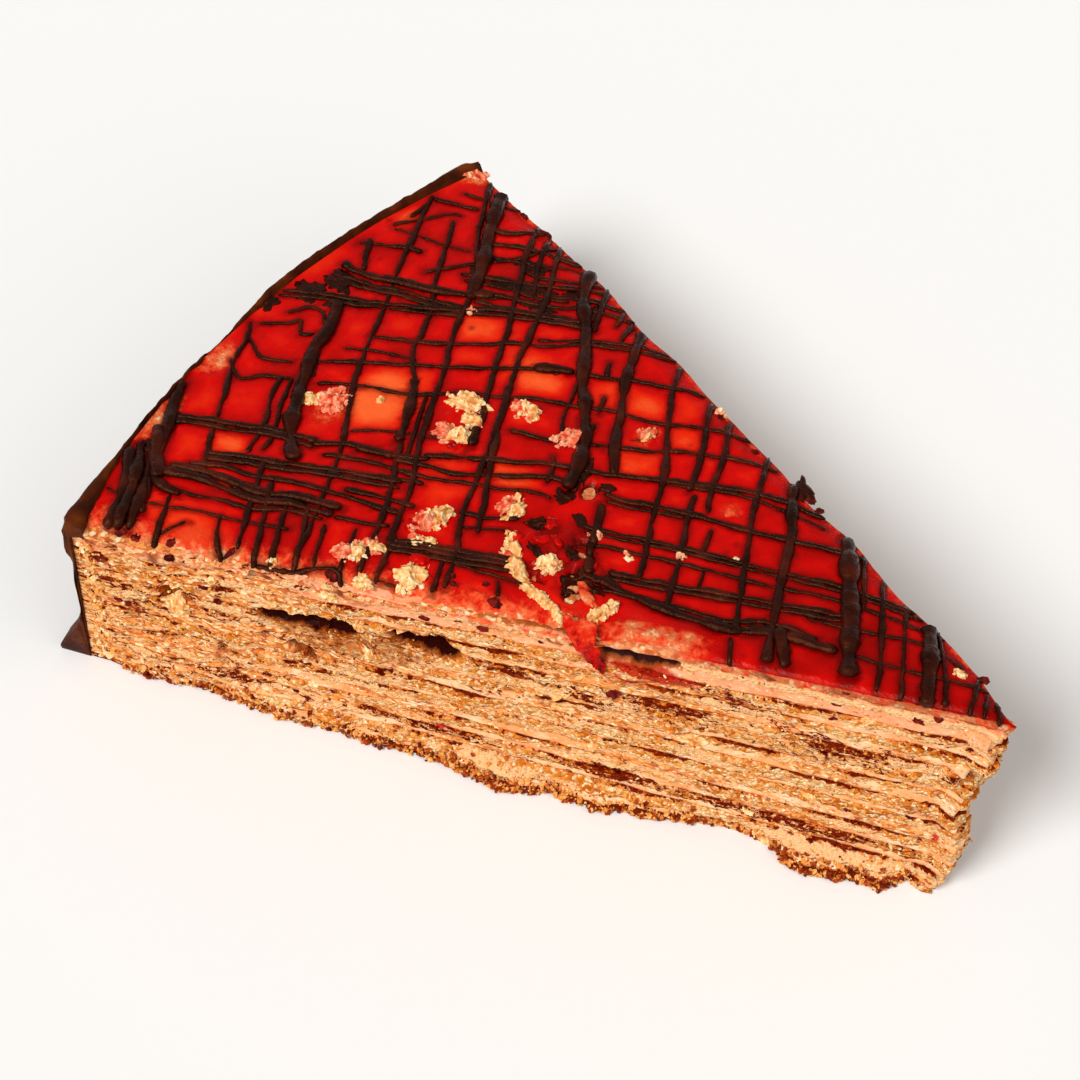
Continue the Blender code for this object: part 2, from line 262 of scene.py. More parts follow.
def addJuiceAndBreakShade(tree, place, colour):
    # raspberry juice, and painted shade inside the breaks, brown and then near black
    ragged = mottle(tree, place, 1.1, 4.0, 0.65)
    edge = scaled(tree, ragged, 0.9, -0.45)
    juice = ramp(tree, ragged, (0.35, "#8E0E05"), (0.6, "#D2230E"))
    stain = plus(tree, painted(tree, "stain"), edge)
    stained = blend(tree, remap(tree, stain, 0.15, 0.85, 0.92), colour, juice)
    # the deep mark: painted shade inside the breaks, with a ragged edge
    deep = scaled(tree, edge, 0.85, painted(tree, "deep"))
    breakShadeBrown = blend(tree, remap(tree, deep, 0.16, 0.42, 0.92), stained, "#9C4508")
    return blend(tree, remap(tree, deep, 0.48, 0.8), breakShadeBrown, "#300703")


# Butter cream whipped with raspberry puree: soft satin, salmon pink near the glaze and paler below, with
# biscuit crumbs that the knife dragged into it.
def berryCream():
    made, tree, place = newMaterial("raspberry butter cream")
    flat = stretched(tree, place, 1.0, 1.0, 1.6)
    clouds = mottle(tree, flat, 4.0, 4.0)
    body = ramp(tree, clouds, (0.3, "#F69A58"), (0.48, "#FFB676"), (0.66, "#FFDAAC"))
    pinker = blend(tree, painted(tree, "blush"), body, "#FA9A72")
    grain = mottle(tree, flat, 0.75, 4.0, 0.6)
    paler = blend(tree, remap(tree, grain, 0.56, 0.66, 0.8), pinker, "#FFE2B6")
    flecked = blend(tree, remap(tree, grain, 0.41, 0.32, 0.75), paler, "#C0661A")
    grains, gapShade, _ = addGrains(tree, flat, 0.7)
    crumb = ramp(tree, grains, (0.1, "#BC560C"), (0.4, "#EC8E32"), (0.7, "#FFB668"), (0.95, "#FFE8B8"))
    # painted shade in the gaps between the grains
    gapped = blend(tree, gapShade, crumb, "#9A2E02")
    crumbed = plus(tree, grain, painted(tree, "smear"))
    crumbly = blend(tree, remap(tree, crumbed, 0.96, 1.04, 0.9), flecked, gapped)
    stained = addJuiceAndBreakShade(tree, place, addToast(tree, flat, crumbly, grains))
    return finishMaterial(made, tree, grain, 0.6, 0.2, {
        "Base Color": stained, "Roughness": 0.6, "IOR": 1.45, "Specular IOR Level": 0.1})


# Raspberry glaze set with pectin: a clear deep red gel with a wet gloss, orange where it lies thin and lets
# the cream shine through, with painted broad reflections in orange, painted shade beside the threads (partly
# chocolate bled into the gel), salmon where it was pulled over the cut.
def raspberryGel():
    made, tree, place = newMaterial("raspberry pectin glaze")
    drift = scaled(tree, mottle(tree, place, 6.0, 4.0), 0.7, -0.35)
    # the warm mark: orange where the gel is thin, plus painted broad reflections and painted light between
    # the threads
    body = ramp(tree, plus(tree, painted(tree, "warm"), drift), (0.0, "#780000"), (0.2, "#A80100"),
                (0.42, "#D00502"), (0.62, "#E62807"), (0.95, "#F8622A"))
    crumbly, thinMask, torn = addFilm(tree, place, body)
    sheen = mottle(tree, place, 2.5, 5.0, 0.6)
    # painted shade beside the threads, partly chocolate bled into the gel, made uneven by a noise
    threadShadow = plus(tree, sheen, painted(tree, "threadShadow"))
    shaded = blend(tree, remap(tree, threadShadow, 0.7, 1.6, 0.75), crumbly, "#5A0202")
    # darker in the torn place, and painted shade in the dents of the glaze
    darkened = blend(tree, painted(tree, "deep"), shaded, "#340402")
    relief = scaled(tree, torn, 2.0, mottle(tree, place, 1.3, 4.0, 0.6))
    rough = remap(tree, sheen, 0.3, 0.7, 0.32, 0.14)
    dull = addNode(tree, "Mix", {0: thinMask, 2: rough, 3: 0.55}).outputs[0]
    return finishMaterial(made, tree, relief, 0.55, 0.4, {
        "Base Color": addSeeds(tree, place, darkened), "Roughness": dull, "IOR": 1.4,
        "Specular IOR Level": 0.22, "Specular Tint": "#FFC2B0"})


def addFilm(tree, place, body):
    # glaze so thin that the cream and crumbs under it show: the colour, where it is thin, and its torn relief
    film = painted(tree, "film")
    uneven = plus(tree, mottle(tree, place, 1.7, 7.0, 0.72), -0.5)
    reach = remap(tree, film, 0.0, 0.3, 2.3)
    torn = addNode(tree, "Math", {0: uneven, 1: reach}, operation="MULTIPLY").outputs[0]
    thin = plus(tree, film, torn)
    thinHue = ramp(tree, thin, (0.1, "#D81806"), (0.42, "#EE4420"), (0.68, "#F47444"), (0.95, "#F8B07C"))
    thinMask = remap(tree, thin, 0.08, 0.4)
    pulled = blend(tree, thinMask, body, thinHue)
    grains, gapShade, _ = addGrains(tree, place, 0.7)
    crumb = ramp(tree, grains, (0.1, "#D0642A"), (0.4, "#EE8E50"), (0.7, "#FAB27C"), (0.95, "#FFDCA6"))
    # painted shade in the gaps between the grains
    gapped = blend(tree, gapShade, crumb, "#B43A16")
    return blend(tree, remap(tree, thin, 0.66, 0.8, 0.85), pulled, gapped), thinMask, torn


def addSeeds(tree, place, colour):
    # a few dark seeds and bits of fruit in the gel
    seeds = addNode(tree, "TexVoronoi", {"Vector": place, "Scale": 1000 / 3.8})
    tone = addNode(tree, "SeparateColor", {0: seeds.outputs["Color"]}).outputs[0]
    near = remap(tree, seeds.outputs["Distance"], 0.20, 0.06)
    picked = ramp(tree, tone, (0.66, 0.0), (0.68, 0.6))
    seedMask = addNode(tree, "Math", {0: near, 1: picked}, operation="MULTIPLY").outputs[0]
    return blend(tree, seedMask, colour, "#7A0603")


# Dark chocolate, tempered and set: nearly black brown with a satin sheen. Piped threads keep fine ridges and
# a brighter sheen, and the coat spread with a palette knife is browner and duller.
def darkChocolate(name, hues, roughness, sheen, ridge, ridgeDepth):
    made, tree, place = newMaterial(name)
    body = ramp(tree, mottle(tree, place, 4.0, 4.0), (0.32, hues[0]), (0.52, hues[1]), (0.7, hues[2]))
    ridges = mottle(tree, place, ridge, 4.0, 0.65)
    dull = remap(tree, ridges, 0.3, 0.7, roughness + 0.15, roughness - 0.1)
    return finishMaterial(made, tree, ridges, 0.6, ridgeDepth, {
        "Base Color": body, "Roughness": dull, "IOR": 1.5, "Specular IOR Level": sheen,
        "Specular Tint": "#D09068"})


# Loose cake crumbs: dry, matte and full of pores, each with its own tone, with painted shade in the pores.
def crumbMaterial(name, hues):
    made, tree, place = newMaterial(name)
    body = ramp(tree, painted(tree, "shade"), *((at / (len(hues) - 1), hue) for at, hue in enumerate(hues)))
    pores = mottle(tree, place, 0.6, 3.0)
    # painted shade in the pores
    poreShaded = blend(tree, remap(tree, pores, 0.5, 0.3, 0.6), body, hues[0])
    return finishMaterial(made, tree, pores, 0.7, 0.25, {
        "Base Color": poreShaded, "Roughness": 0.9, "IOR": 1.4, "Specular IOR Level": 0.2})


materials = {
    "biscuit": honeyBiscuit(),
    "cream": berryCream(),
    "gel": raspberryGel(),
    "threads": darkChocolate("piped dark chocolate", ("#170200", "#2C0702", "#4A1508"),
                             roughness=0.22, sheen=0.42, ridge=0.45, ridgeDepth=0.25),
    "coat": darkChocolate("dark chocolate coat", ("#301006", "#4C1E0A", "#6A300F"),
                          roughness=0.5, sheen=0.12, ridge=1.2, ridgeDepth=0.3),
    "paleCrumb": crumbMaterial("pale cake crumb", ("#C9702E", "#EDAF68", "#F9D392", "#FDE9BE")),
    "wineBit": crumbMaterial("dried raspberry bit", ("#3A0503", "#5E0D07", "#7E180D", "#98260F")),
    "pinkCrumb": crumbMaterial("glaze soaked crumb", ("#C23018", "#E8623E", "#F59A72", "#F9BD92")),
    "goldenCrumb": crumbMaterial("golden biscuit crumb", ("#B4661F", "#E09040", "#F4AC58", "#FCC47C")),
    "darkCrumb": crumbMaterial("toasted crust crumb", ("#4E1203", "#842608", "#A8400F", "#C26424")),
}
print("materials made")


def finishPiece(name, bm, material, replaced=(), smooth=True):
    # moves a finished shape into the row frame and makes it a piece that rides on the slice
    for face in bm.faces:
        face.smooth = smooth and len(face.verts) < 5
    for vert in bm.verts:
        vert.co.z = max(vert.co.z, 0.0)
    bmesh.ops.scale(bm, vec=(mm, mm, mm), verts=bm.verts[:])
    bmesh.ops.translate(bm, vec=(cake["tipAt"][0] * mm, cake["tipAt"][1] * mm, 0.0), verts=bm.verts[:])
    mesh = bpy.data.meshes.new(name)
    bm.to_mesh(mesh)
    bm.free()
    mesh.materials.append(materials[material])
    piece = bpy.data.objects.new(name, mesh)
    bpy.context.scene.collection.objects.link(piece)
    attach(piece, "root")
    if replaced:
        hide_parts(*replaced)
    print(f"{name}: {sum(len(face.vertices) - 2 for face in mesh.polygons)} triangles")
    return piece


# The layers where they show at the cuts and the tip
cuts = {
    "nearStep": 0.30,  # spacing of the points along each cut and under the coat
    "farStep": 0.45,
    "rimStep": 3.0,
    "straightTo": 130.0,  # the cuts run on straight to this radius, under the coat
    "tipTurn": 3.6,  # length over which their direction turns at the tip
    "farLean": 1.35,  # how far the far edge of the top leans out
    "rowHeight": 0.28,
    "biscuitRagged": 0.8,  # how far a layer's cut side goes in and out
    "creamRagged": 0.5,
    "creamRecess": 0.18,
    "crumbSize": 0.7,  # cells of the biscuit's crumb
    "crumbRelief": 0.45,
    # how far each layer ends before the tip, from the plate up
    "tipEnds": (4.0, 3.2, 2.6, 1.8, 1.6, 1.4, 1.6, 1.4, 2.0, 2.4, 2.8, 2.9,
                2.4, 2.6, 2.4, 4.0, 4.6, 3.4, 1.0, 1.2, 1.2, 1.8, 1.2, 0.6),
    # toasting of each biscuit from the plate up: its upper edge, lower edge and inside
    "toast": (
        (1.0, 1.0, 1.0), (0.8, 0.4, 0.2), (1.0, 0.8, 0.6), (0.8, 0.5, 0.15), (0.85, 0.4, 0.12),
        (1.0, 0.5, 0.2), (0.8, 0.5, 0.3), (0.95, 0.5, 0.4), (1.05, 0.9, 0.6), (0.9, 0.55, 0.3),
        (1.0, 0.5, 0.2), (0.4, 0.2, 0.05),
    ),
}

# Breaks in the near cut: distances from the tip, heights of the middle line at both ends, half height, depth
# and how dark the painted shade inside it is
nearBreaks = (
    {"from": 77, "to": 95, "low": 23.1, "high": 21.4, "half": 1.1, "depth": 3.0, "dark": 0.85},
    {"from": 65.5, "to": 77, "low": 23.8, "high": 24.6, "half": 1.15, "depth": 3.6, "dark": 1.0},
    {"from": 68, "to": 94, "low": 20.8, "high": 19.4, "half": 2.4, "depth": 0.9, "dark": 0.3},
    {"from": 38, "to": 51, "low": 34.6, "high": 34.2, "half": 1.45, "depth": 3.2, "dark": 1.0},
    {"from": 51.5, "to": 57, "low": 33.2, "high": 33.0, "half": 0.6, "depth": 1.8, "dark": 0.9},
    {"from": 85, "to": 90, "low": 13.7, "high": 16.8, "half": 1.1, "depth": 2.2, "dark": 0.55},
    {"from": 101.8, "to": 107, "low": 20.9, "high": 21.4, "half": 1.1, "depth": 1.6, "dark": 0.5},
    {"from": 97.2, "to": 99.4, "low": 10.0, "high": 10.6, "half": 2.6, "depth": 0.7, "dark": 0.25},
)
# How far the lowest crust stands out of the near cut: distance from the tip, then millimetres
crustEdge = (
    (0, 0.3), (3, 0.3), (7, 1.0), (10, 2.8), (13, 2.4), (16, 2.9), (19.5, 3.6), (22, 2.6), (24, 1.2),
    (26, 0), (31, -0.5), (35, 0.5), (38, 1.1), (41, 1.6), (44, 1.6), (47, 2.5), (50, 2.5), (53, 1.8),
    (56, 2.8), (59, 3.4), (62, 3.0), (65, 2.4), (68, 1.6), (73, 1.4), (78, 1.6), (84, 1.3), (88, 1.4),
    (91, 1.8), (94, 1.4), (97, 0.8), (100, 0.1), (103, 0.5), (106, 1.2), (109, 0.8), (113, 0.4),
    (120, 0.4),
)
# Clumps of toasted crumb on the near cut, and painted shade below the long break (at 76) and in the crack
# (at 98.5): distance from the tip, height, half length, half height, strength
toastAndShadeClumps = (
    (45.0, 6.5, 7.0, 1.7, 0.9), (60.5, 23.4, 6.0, 1.1, 0.8), (50.5, 22.2, 4.0, 1.4, 0.8),
    (110.0, 14.5, 2.6, 3.0, 0.7), (114.2, 24.7, 1.5, 1.8, 1.0), (98.5, 10.5, 0.7, 2.6, 0.7),
    (76.0, 20.2, 12.0, 1.8, 0.5), (62.0, 18.0, 5.0, 1.6, 0.5), (33.0, 31.0, 8.0, 2.0, 0.6),
    (24.0, 27.5, 8.0, 1.2, 0.6), (12.0, 28.0, 9.0, 1.0, 0.5), (104.0, 21.0, 4.0, 2.2, 0.6),
)
# Raspberry juice on the near cut: distance from the tip, height, half length, half height, strength
juiceStains = (
    (42.5, 31.6, 6.5, 2.2, 1.0), (50.0, 31.8, 2.6, 2.4, 0.9), (45.0, 28.4, 5.0, 1.6, 0.45),
    (104.5, 21.2, 2.6, 1.0, 0.7), (80.0, 30.3, 2.4, 1.4, 0.5), (88.0, 29.3, 3.2, 1.5, 0.3),
    (68.9, 6.2, 0.8, 0.9, 1.0), (3.8, 11.4, 0.9, 1.1, 0.9), (87.2, 15.2, 2.4, 1.8, 0.5),
    (31.5, 37.2, 5.0, 1.2, 0.35),
)


# How much further the cake reaches out under its coat towards the near corner: from this far sideways,
# over this length, by how much
rimSwells = ((26, 12, 1.0), (36, 8, 1.1))


def rimSwell(y):
    return sum(most * ease((-y - first) / length) for first, length, most in rimSwells)


def cutLine(side, step):
    # the edge along one cut, from the rim to the tip
    count = round(-cornerX / step)
    start = cornerX * (1 + rimSwell(side * cake["cornerY"]) / cake["radius"])
    found = []
    for at in range(count + 1):
        x = start * (1 - at / count)
        turn = ease((x + cuts["tipTurn"]) / cuts["tipTurn"])
        normal = Vector((mix(cutSine, 0.6, turn), side * mix(cutCosine, 0.8, turn), 0)).normalized()
        found.append((x, side * halfWidth(x, cuts["straightTo"]), normal.x, normal.y, side))
    return found


def tipLine():
    found = []
    for at in range(-4, 5):
        share = at / 5
        x, y = 0.3 - 0.2 * share**2, cake["tipHalfWidth"] * share
        found.append((x, y, 0.95, 0.3 * share, 1 if at > 0 else -1))
    return found


def rimLine():
    steps = round(2 * cake["halfAngle"] * cake["radius"] / cuts["rimStep"])
    found = []
    for at in range(1, steps):
        angle = cake["halfAngle"] * (1 - 2 * at / steps)
        radius = cake["radius"] + rimSwell(cake["radius"] * math.sin(angle))
        outward = -math.cos(angle), math.sin(angle)
        found.append((radius * outward[0], radius * outward[1], *outward, 0))
    return found


def outline():
    # the slice's edge, all the way round: x, y, direction outwards, and -1 at the near cut, 1 at the far one
    return cutLine(-1, cuts["nearStep"]) + tipLine() + cutLine(1, cuts["farStep"])[::-1] + rimLine()


def readOff(table, along):
    # the value between two entries of a table of distances
    for (first, low), (last, high) in zip(table, table[1:]):
        if first <= along <= last:
            return mix(low, high, ease((along - first) / (last - first)))
    return table[-1][1]


def farBulge(x):
    lean = cuts["farLean"] * ease((-x - 1) / 8) * ease((112 + x) / 20)
    return lean * (1 + 0.5 * noiseAt(x * 0.11, 6.0, 0.0))


def breakAt(x, z):
    # how deep the near cut is broken there, and how dark the painted shade inside it is
    deepest, deepestShade = 0.0, 0.0
    for cut in nearBreaks:
        if cut["from"] < -x < cut["to"]:
            along = (-x - cut["from"]) / (cut["to"] - cut["from"])
            middle = mix(cut["low"], cut["high"], along) + 0.9 * noiseAt(x * 0.25, cut["depth"], 1.0)
            middle += 0.5 * noiseAt(x * 1.2, z * 0.4, cut["from"])
            taper = bump(-x, cut["from"], cut["to"])
            reach = cut["half"] * (1.0 + 0.9 * noiseAt(x * 0.3, cut["from"], 4.0)) * mix(0.35, 1.1, taper)
            reach += 0.35 * noiseAt(x * 0.9, z * 0.3, cut["from"])
            closeness = math.exp(-(((z - middle) / max(reach, 0.2)) ** 2)) * taper
            deepest = max(deepest, cut["depth"] * closeness)
            deepestShade = max(deepestShade, cut["dark"] * min(closeness * 2.7, 1.0))
    return deepest, deepestShade


def smearAt(x, z, layer, side, across):
    # how much cream the knife dragged over a biscuit, or crumb over a cream: most by the rim
    drift = noiseAt(x * 0.07, z * 0.25, side * 4.0 + 11)
    found = 0.34 + 0.06 * ease((-x - cake["crushedFrom"]) / 45) + 0.4 * drift - 0.10 * across
    if layer["kind"] == "cream":
        found = 0.42 + 0.16 * ease((-x - cake["crushedFrom"]) / 38) + 0.5 * drift
        share = z / height(x)
        found += 0.14 * ease((share - 0.3) / 0.15) * ease((0.9 - share) / 0.1) * ease((-x - 25) / 15)
    if layer["node"] == "biscuit_12":
        found += 0.35
    return min(max(found, 0.0), 0.8)


def cutOffset(x, z, layer, side, across):
    # how far a layer's cut side stands out from the clean cut
    if side == 0:
        return 0.0
    isCream = layer["kind"] == "cream"
    ragged = cuts["creamRagged"] if isCream else cuts["biscuitRagged"]
    ragged *= 0.4 if layer["seed"] < 4 else mix(0.4, 0.75, ease((-x - 60) / 30))
    offset = ragged * 1.6 * noiseAt(x * 0.21, layer["seed"] * 5.3 + 0.7, side * 9.1)
    cells = noise.voronoi(Vector((x / cuts["crumbSize"], z / cuts["crumbSize"] * 1.1, side * 7.0)))[0][0]
    lumps = noiseAt(x * 0.42, z * 0.55, side * 2.0)
    fine = noiseAt(x * 1.7, z * 1.9, side * 3.0)
    if isCream:
        offset += 0.16 * lumps + cuts["crumbRelief"] * 0.3 * (0.45 - cells) + 0.08 * fine
        offset -= cuts["creamRecess"] - 0.25 * ease((-x - 70) / 40)
    else:
        offset += 0.1 * (1 - across**4) + 0.3 * lumps + cuts["crumbRelief"] * (0.45 - cells) + 0.22 * fine
    if side < 0:
        offset += readOff(crustEdge, -x) * ease((3.8 - z) / 3.0)
    else:
        offset += farBulge(x) * ease((z / height(x) - 0.66) / 0.3)
    fromRim = ease((x - cornerX) / 5.0)
    offset *= fromRim
    if side < 0:
        offset -= breakAt(x, z)[0]
    return offset


def tipShift(x, layer):
    # each layer breaks off a little before or after the others at the tip
    return -cuts["tipEnds"][layer["seed"] - 2] * ease((x + 10) / 10)


def within(x, y, centreX, centreY, halfX, halfY, turn=0.0):
    # 0 at the middle of an ellipse and 1 on it
    angle = math.radians(turn)
    dx, dy = x - centreX, y - centreY
    along = dx * math.cos(angle) + dy * math.sin(angle)
    across = dy * math.cos(angle) - dx * math.sin(angle)
    return math.hypot(along / halfX, across / halfY)


def strongest(spots, x, z):
    # the strongest of some ragged spots on the near cut
    found = 0.0
    for along, tall, halfLong, halfTall, strength in spots:
        reach = within(-x, z, along, tall, halfLong, halfTall)
        if reach < 1.6:
            ragged = 0.35 * noiseAt(x * 0.55, z * 0.9, along)
            found = max(found, strength * (1 - ease((reach + ragged - 0.45) / 0.6)))
    return found


def toastAt(x, z, layer, side, across):
    upper, lower, inside = cuts["toast"][(layer["seed"] - 2) // 2]
    zigzag = 0.4 * noiseAt(x * 0.7, layer["seed"] * 1.9, side * 6.0)
    fromTop = (1 - across) / 2 * layer["thickness"] + zigzag
    fromBottom = (1 + across) / 2 * layer["thickness"] + zigzag
    broken = [min(max(0.68 + 2.0 * noiseAt(x * 0.085, layer["seed"] * 3.1 + at, side * 2.0), 0.0), 1.25)
              for at in (0.0, 40.0, 80.0)]
    if layer["kind"] == "cream":
        # crust that sticks to the cream's lower side, and crumbs dragged along
        found = 0.55 * upper * broken[0] * math.exp(-((fromBottom / 0.3) ** 2)) + 0.08 * broken[2]
    else:
        found = max(upper * broken[0] * math.exp(-((fromTop / 0.42) ** 2)), inside * broken[2],
                    lower * broken[1] * math.exp(-((fromBottom / 0.32) ** 2)))
    # towards the rim the layers are crushed, with cracks instead of straight lines
    crushed = ease((-x - cake["crushedFrom"]) / 30)
    wander = noiseAt(x * 0.16, z * 0.42, side * 5.0) + 0.3 * noiseAt(x * 0.7, z * 1.1, side * 3.0)
    found = mix(found, 0.4 * found + 0.7 * max(1 - 5.5 * abs(wander), 0.0), crushed)
    # the toasted clumps, two of them painted shade, on the near cut only
    return max(found, strongest(toastAndShadeClumps, x, z)) if side < 0 else found


def layerMarks(x, z, layer, side, across):
    # what the materials read: toasting, smears, juice, painted shade inside the breaks and blush
    share = z / height(x)
    blush = 0.1 + 0.6 * ease((share - 0.74) / 0.22) + 0.3 * noiseAt(x * 0.1, z * 0.3, 9.0)
    return {
        "toast": toastAt(x, z, layer, side, across),
        "smear": smearAt(x, z, layer, side, across),
        "stain": max(0.55 * ease((share - 0.945) / 0.05), strongest(juiceStains, x, z) if side < 0 else 0.0),
        "deep": breakAt(x, z)[1] if side < 0 else 0.0,
        "blush": min(max(blush, 0), 1),
    }


def layerPlace(x, y, nx, ny, side, layer, across):
    # one point of a layer's cut side, with the height between its two borders
    low = cutLevel(layer["low"], x, side) if side else level(layer["low"], x)
    high = cutLevel(layer["high"], x, side) if side else level(layer["high"], x)
    z = mix(low, high, (across + 1) / 2)
    atFront = x > 0
    out = cutOffset(6 * y if atFront else x, z, layer, side, across) * (1.4 if atFront else 1.0)
    shift = tipShift(x, layer)
    wider = -shift * cutSlope * side * min(abs(y) / cake["tipHalfWidth"], 1.0)
    return x + nx * out + shift, y + ny * out + wider, z


def pour(part, bm):
    # adds a finished part to a bigger shape
    mesh = bpy.data.meshes.new("part")
    part.to_mesh(mesh)
    part.free()
    bm.from_mesh(mesh)
    bpy.data.meshes.remove(mesh)


markNames = ("toast", "smear", "stain", "deep", "blush")


def addLayer(bm, layer, ring):
    part = bmesh.new()
    rows = max(4, round(layer["thickness"] / cuts["rowHeight"]))
    marks = {name: part.verts.layers.float.new(name) for name in markNames}
    bmesh.ops.create_grid(part, x_segments=len(ring), y_segments=rows, size=1.0)
    for vert in part.verts:
        x, y, nx, ny, side = ring[round((vert.co.x + 1) / 2 * len(ring)) % len(ring)]
        across = vert.co.y
        vert.co = layerPlace(x, y, nx, ny, side, layer, across)
        for name, value in layerMarks(x, vert.co.z, layer, side, across).items():
            vert[marks[name]] = value
    bmesh.ops.remove_doubles(part, verts=part.verts[:], dist=0.0001)
    bmesh.ops.holes_fill(part, edges=[edge for edge in part.edges if edge.is_boundary], sides=0)
    bmesh.ops.recalc_face_normals(part, faces=part.faces[:])
    pour(part, bm)


def makeLayers(kind):
    bm = bmesh.new()
    for name in markNames:
        bm.verts.layers.float.new(name)
    ring = outline()
    chosen = [layer for layer in layers if layer["kind"] == kind]
    for layer in chosen:
        addLayer(bm, layer, ring)
    return finishPiece(f"{kind}Layers", bm, kind, [layer["node"] for layer in chosen])


makeLayers("biscuit")
makeLayers("cream")


# The raspberry glaze
glaze = {
    "columns": 300,
    "rows": 150,
    "overRim": 0.9,  # how far it reaches over the chocolate at the rim
    "nearRim": 0.25,  # how much further on the near half
    "farRim": 0.3,  # and on the far half
    "inset": 0.6,  # how far its edge stays back from the near cut by the tip
    "swell": 0.25,  # heights of its long and short waves
    "ripple": 0.10,
    "nearRoll": 4.6,  # width of the soft shoulder by the rim, and of the crisper edge by the tip
    "tipRoll": 2.0,
    "nearDrop": 1.5,  # how far it sinks over them
    "tipDrop": 0.7,
    "shoulderEnd": 49.0,  # distance from the tip where the one turns into the other
    "flap": (37.0, 51.0, 1.1, 8.0),  # from, to, lift, how far in it reaches
    "tornOval": (-61.5, -10.0, 8.0, 6.0, -15),  # the dark torn place: x, y, half sizes, turn
    "threadShadow": 0.9,  # how far the painted shade beside the threads reaches, partly chocolate bled into the gel
}
glazeRadius = cake["radius"] + glaze["overRim"]
# Rings of the hem, which goes out over the cut, down and back under: out, share of the hang, how much thinner
hemRings = ((0.16, 0.25, 0.15), (0.24, 0.6, 0.35), (0.12, 0.95, 0.6), (-0.25, 1.05, 0.6), (-1.2, 0.9, 0.6))
# Lowest edge of the glaze on the near cut: distance from the tip, and how far it hangs below the top
glazeHem = (
    (0, 0.3), (10, 0.35), (20, 0.35), (28, 0.5), (33, 0.9), (37, 1.5), (40, 1.3), (50, 1.4), (53, 2.6),
    (56, 2.2), (60, 1.6), (65, 2.2), (70, 1.4), (75, 2.3), (80, 3.4), (84, 1.5), (90, 1.2), (95, 2.0),
    (99, 2.4), (103, 3.4), (106, 4.0), (110, 2.6), (114, 1.8), (118, 1.2),
)
# Dents and holes in the glaze: x, y, half sizes, turn in degrees, depth, and how dark the shade painted in
# them is
glazeDents = (
    (-65.4, 1.2, 1.3, 1.7, 15, 1.3, 1.0), (-64.9, 13.4, 0.5, 2.2, -35, 0.9, 0.8),
    (-103.5, -7.5, 2.4, 2.6, 0, 0.35, 0.0), (-60.5, -8.0, 1.2, 2.2, 30, 0.8, 0.5),
    (-57.0, -14.0, 1.6, 2.2, 10, 1.0, 0.9), (-88.0, 1.0, 4.5, 5.0, 0, 0.25, 0.1),
    (-66.5, -7.0, 2.6, 1.6, 20, 0.6, 0.7), (-63.0, -14.5, 3.0, 0.8, -20, 0.7, 0.6),
)
# Rough torn glaze: x, y, half sizes, turn, height of the ridges
glazeTears = (
    (-61.0, -11.0, 9.0, 6.5, -15, 0.85), (-88.0, 1.5, 4.5, 6.0, 10, 0.35), (-47.5, 9.0, 2.0, 2.0, 0, 0.35),
    (-79.0, -18.0, 6.0, 7.0, 0, 0.3), (-72.0, -24.0, 12.0, 3.5, 15, 0.35), (-100, 36, 5, 4, 0, 0.25),
    (-104.0, -7.5, 3.5, 4.0, 0, 0.3), (-113, 12, 8, 5, 15, 0.2), (-65, 13.5, 2.2, 3.5, -30, 0.35),
)
# Where the glaze looks orange, partly where it lies thin and partly a painted broad reflection of the soft
# light,
# and, below 0, where it is deep: x, y, half sizes, strength
warmAndLitSpots = (
    (-98.5, -2.0, 7, 8, 0.50), (-84.0, 14.0, 6, 4, 0.36), (-63.5, 9.0, 5, 4, 0.36),
    (-76.0, -2.5, 6, 3, 0.34), (-84.5, -5.5, 5, 4, 0.32), (-60.5, 16.5, 4, 3, 0.26),
    (-110.5, -21, 3.5, 3, 0.40), (-119, 29.5, 1.6, 3.0, 0.45), (-96.0, 18.0, 6, 4, 0.28),
    (-104.5, -35, 9, 5, 0.35), (-72.5, 17.0, 4, 4, 0.2), (-12.0, -2.0, 14, 4, -0.10),
    (-66, -8, 8, 8, -0.2), (-112, 22, 7, 7, -0.08), (-92, 28, 12, 6, -0.15), (-30, 0, 14, 8, -0.08),
    (-83, 7, 4, 3, 0.2), (-92, 10, 5, 4, 0.15), (-116, -12, 5, 5, 0.05), (-68, 18, 3, 3, 0.2),
    (-81, -9, 5, 3, 0.2), (-106, -26, 4, 2, 0.4),
)
# Bare pink patches where the glaze came off: x, y, half sizes, strength
bareSpots = (
    (-121.6, -23.0, 1.8, 5.5, 0.6), (-103.5, -7.5, 2.4, 2.8, 0.45), (-122.5, -9.0, 2.2, 3.5, 0.6),
    (-117, 42.5, 2.5, 2.0, 0.6), (-64.6, 13.5, 1.8, 2.8, 0.3), (-48, 9, 1.6, 1.6, 0.3),
    (-112, -40, 6, 3, 0.35),
)


def nearShare(x):
    # 1 in the part with the soft shoulder, 0 by the tip
    return ease((-x - glaze["shoulderEnd"] + 4) / 8)


def fromNear(x, y):
    # distance to the near cut
    return (max(-x * cutSlope, cake["tipHalfWidth"]) + y) * cutCosine


def fromFar(x, y):
    return fromNear(x, -y) + farBulge(x) * cutCosine


def flapLift(x, y):
    first, last, lift, reach = glaze["flap"]
    return lift * bump(-x, first, last) * (1 - ease(fromNear(x, y) / reach))


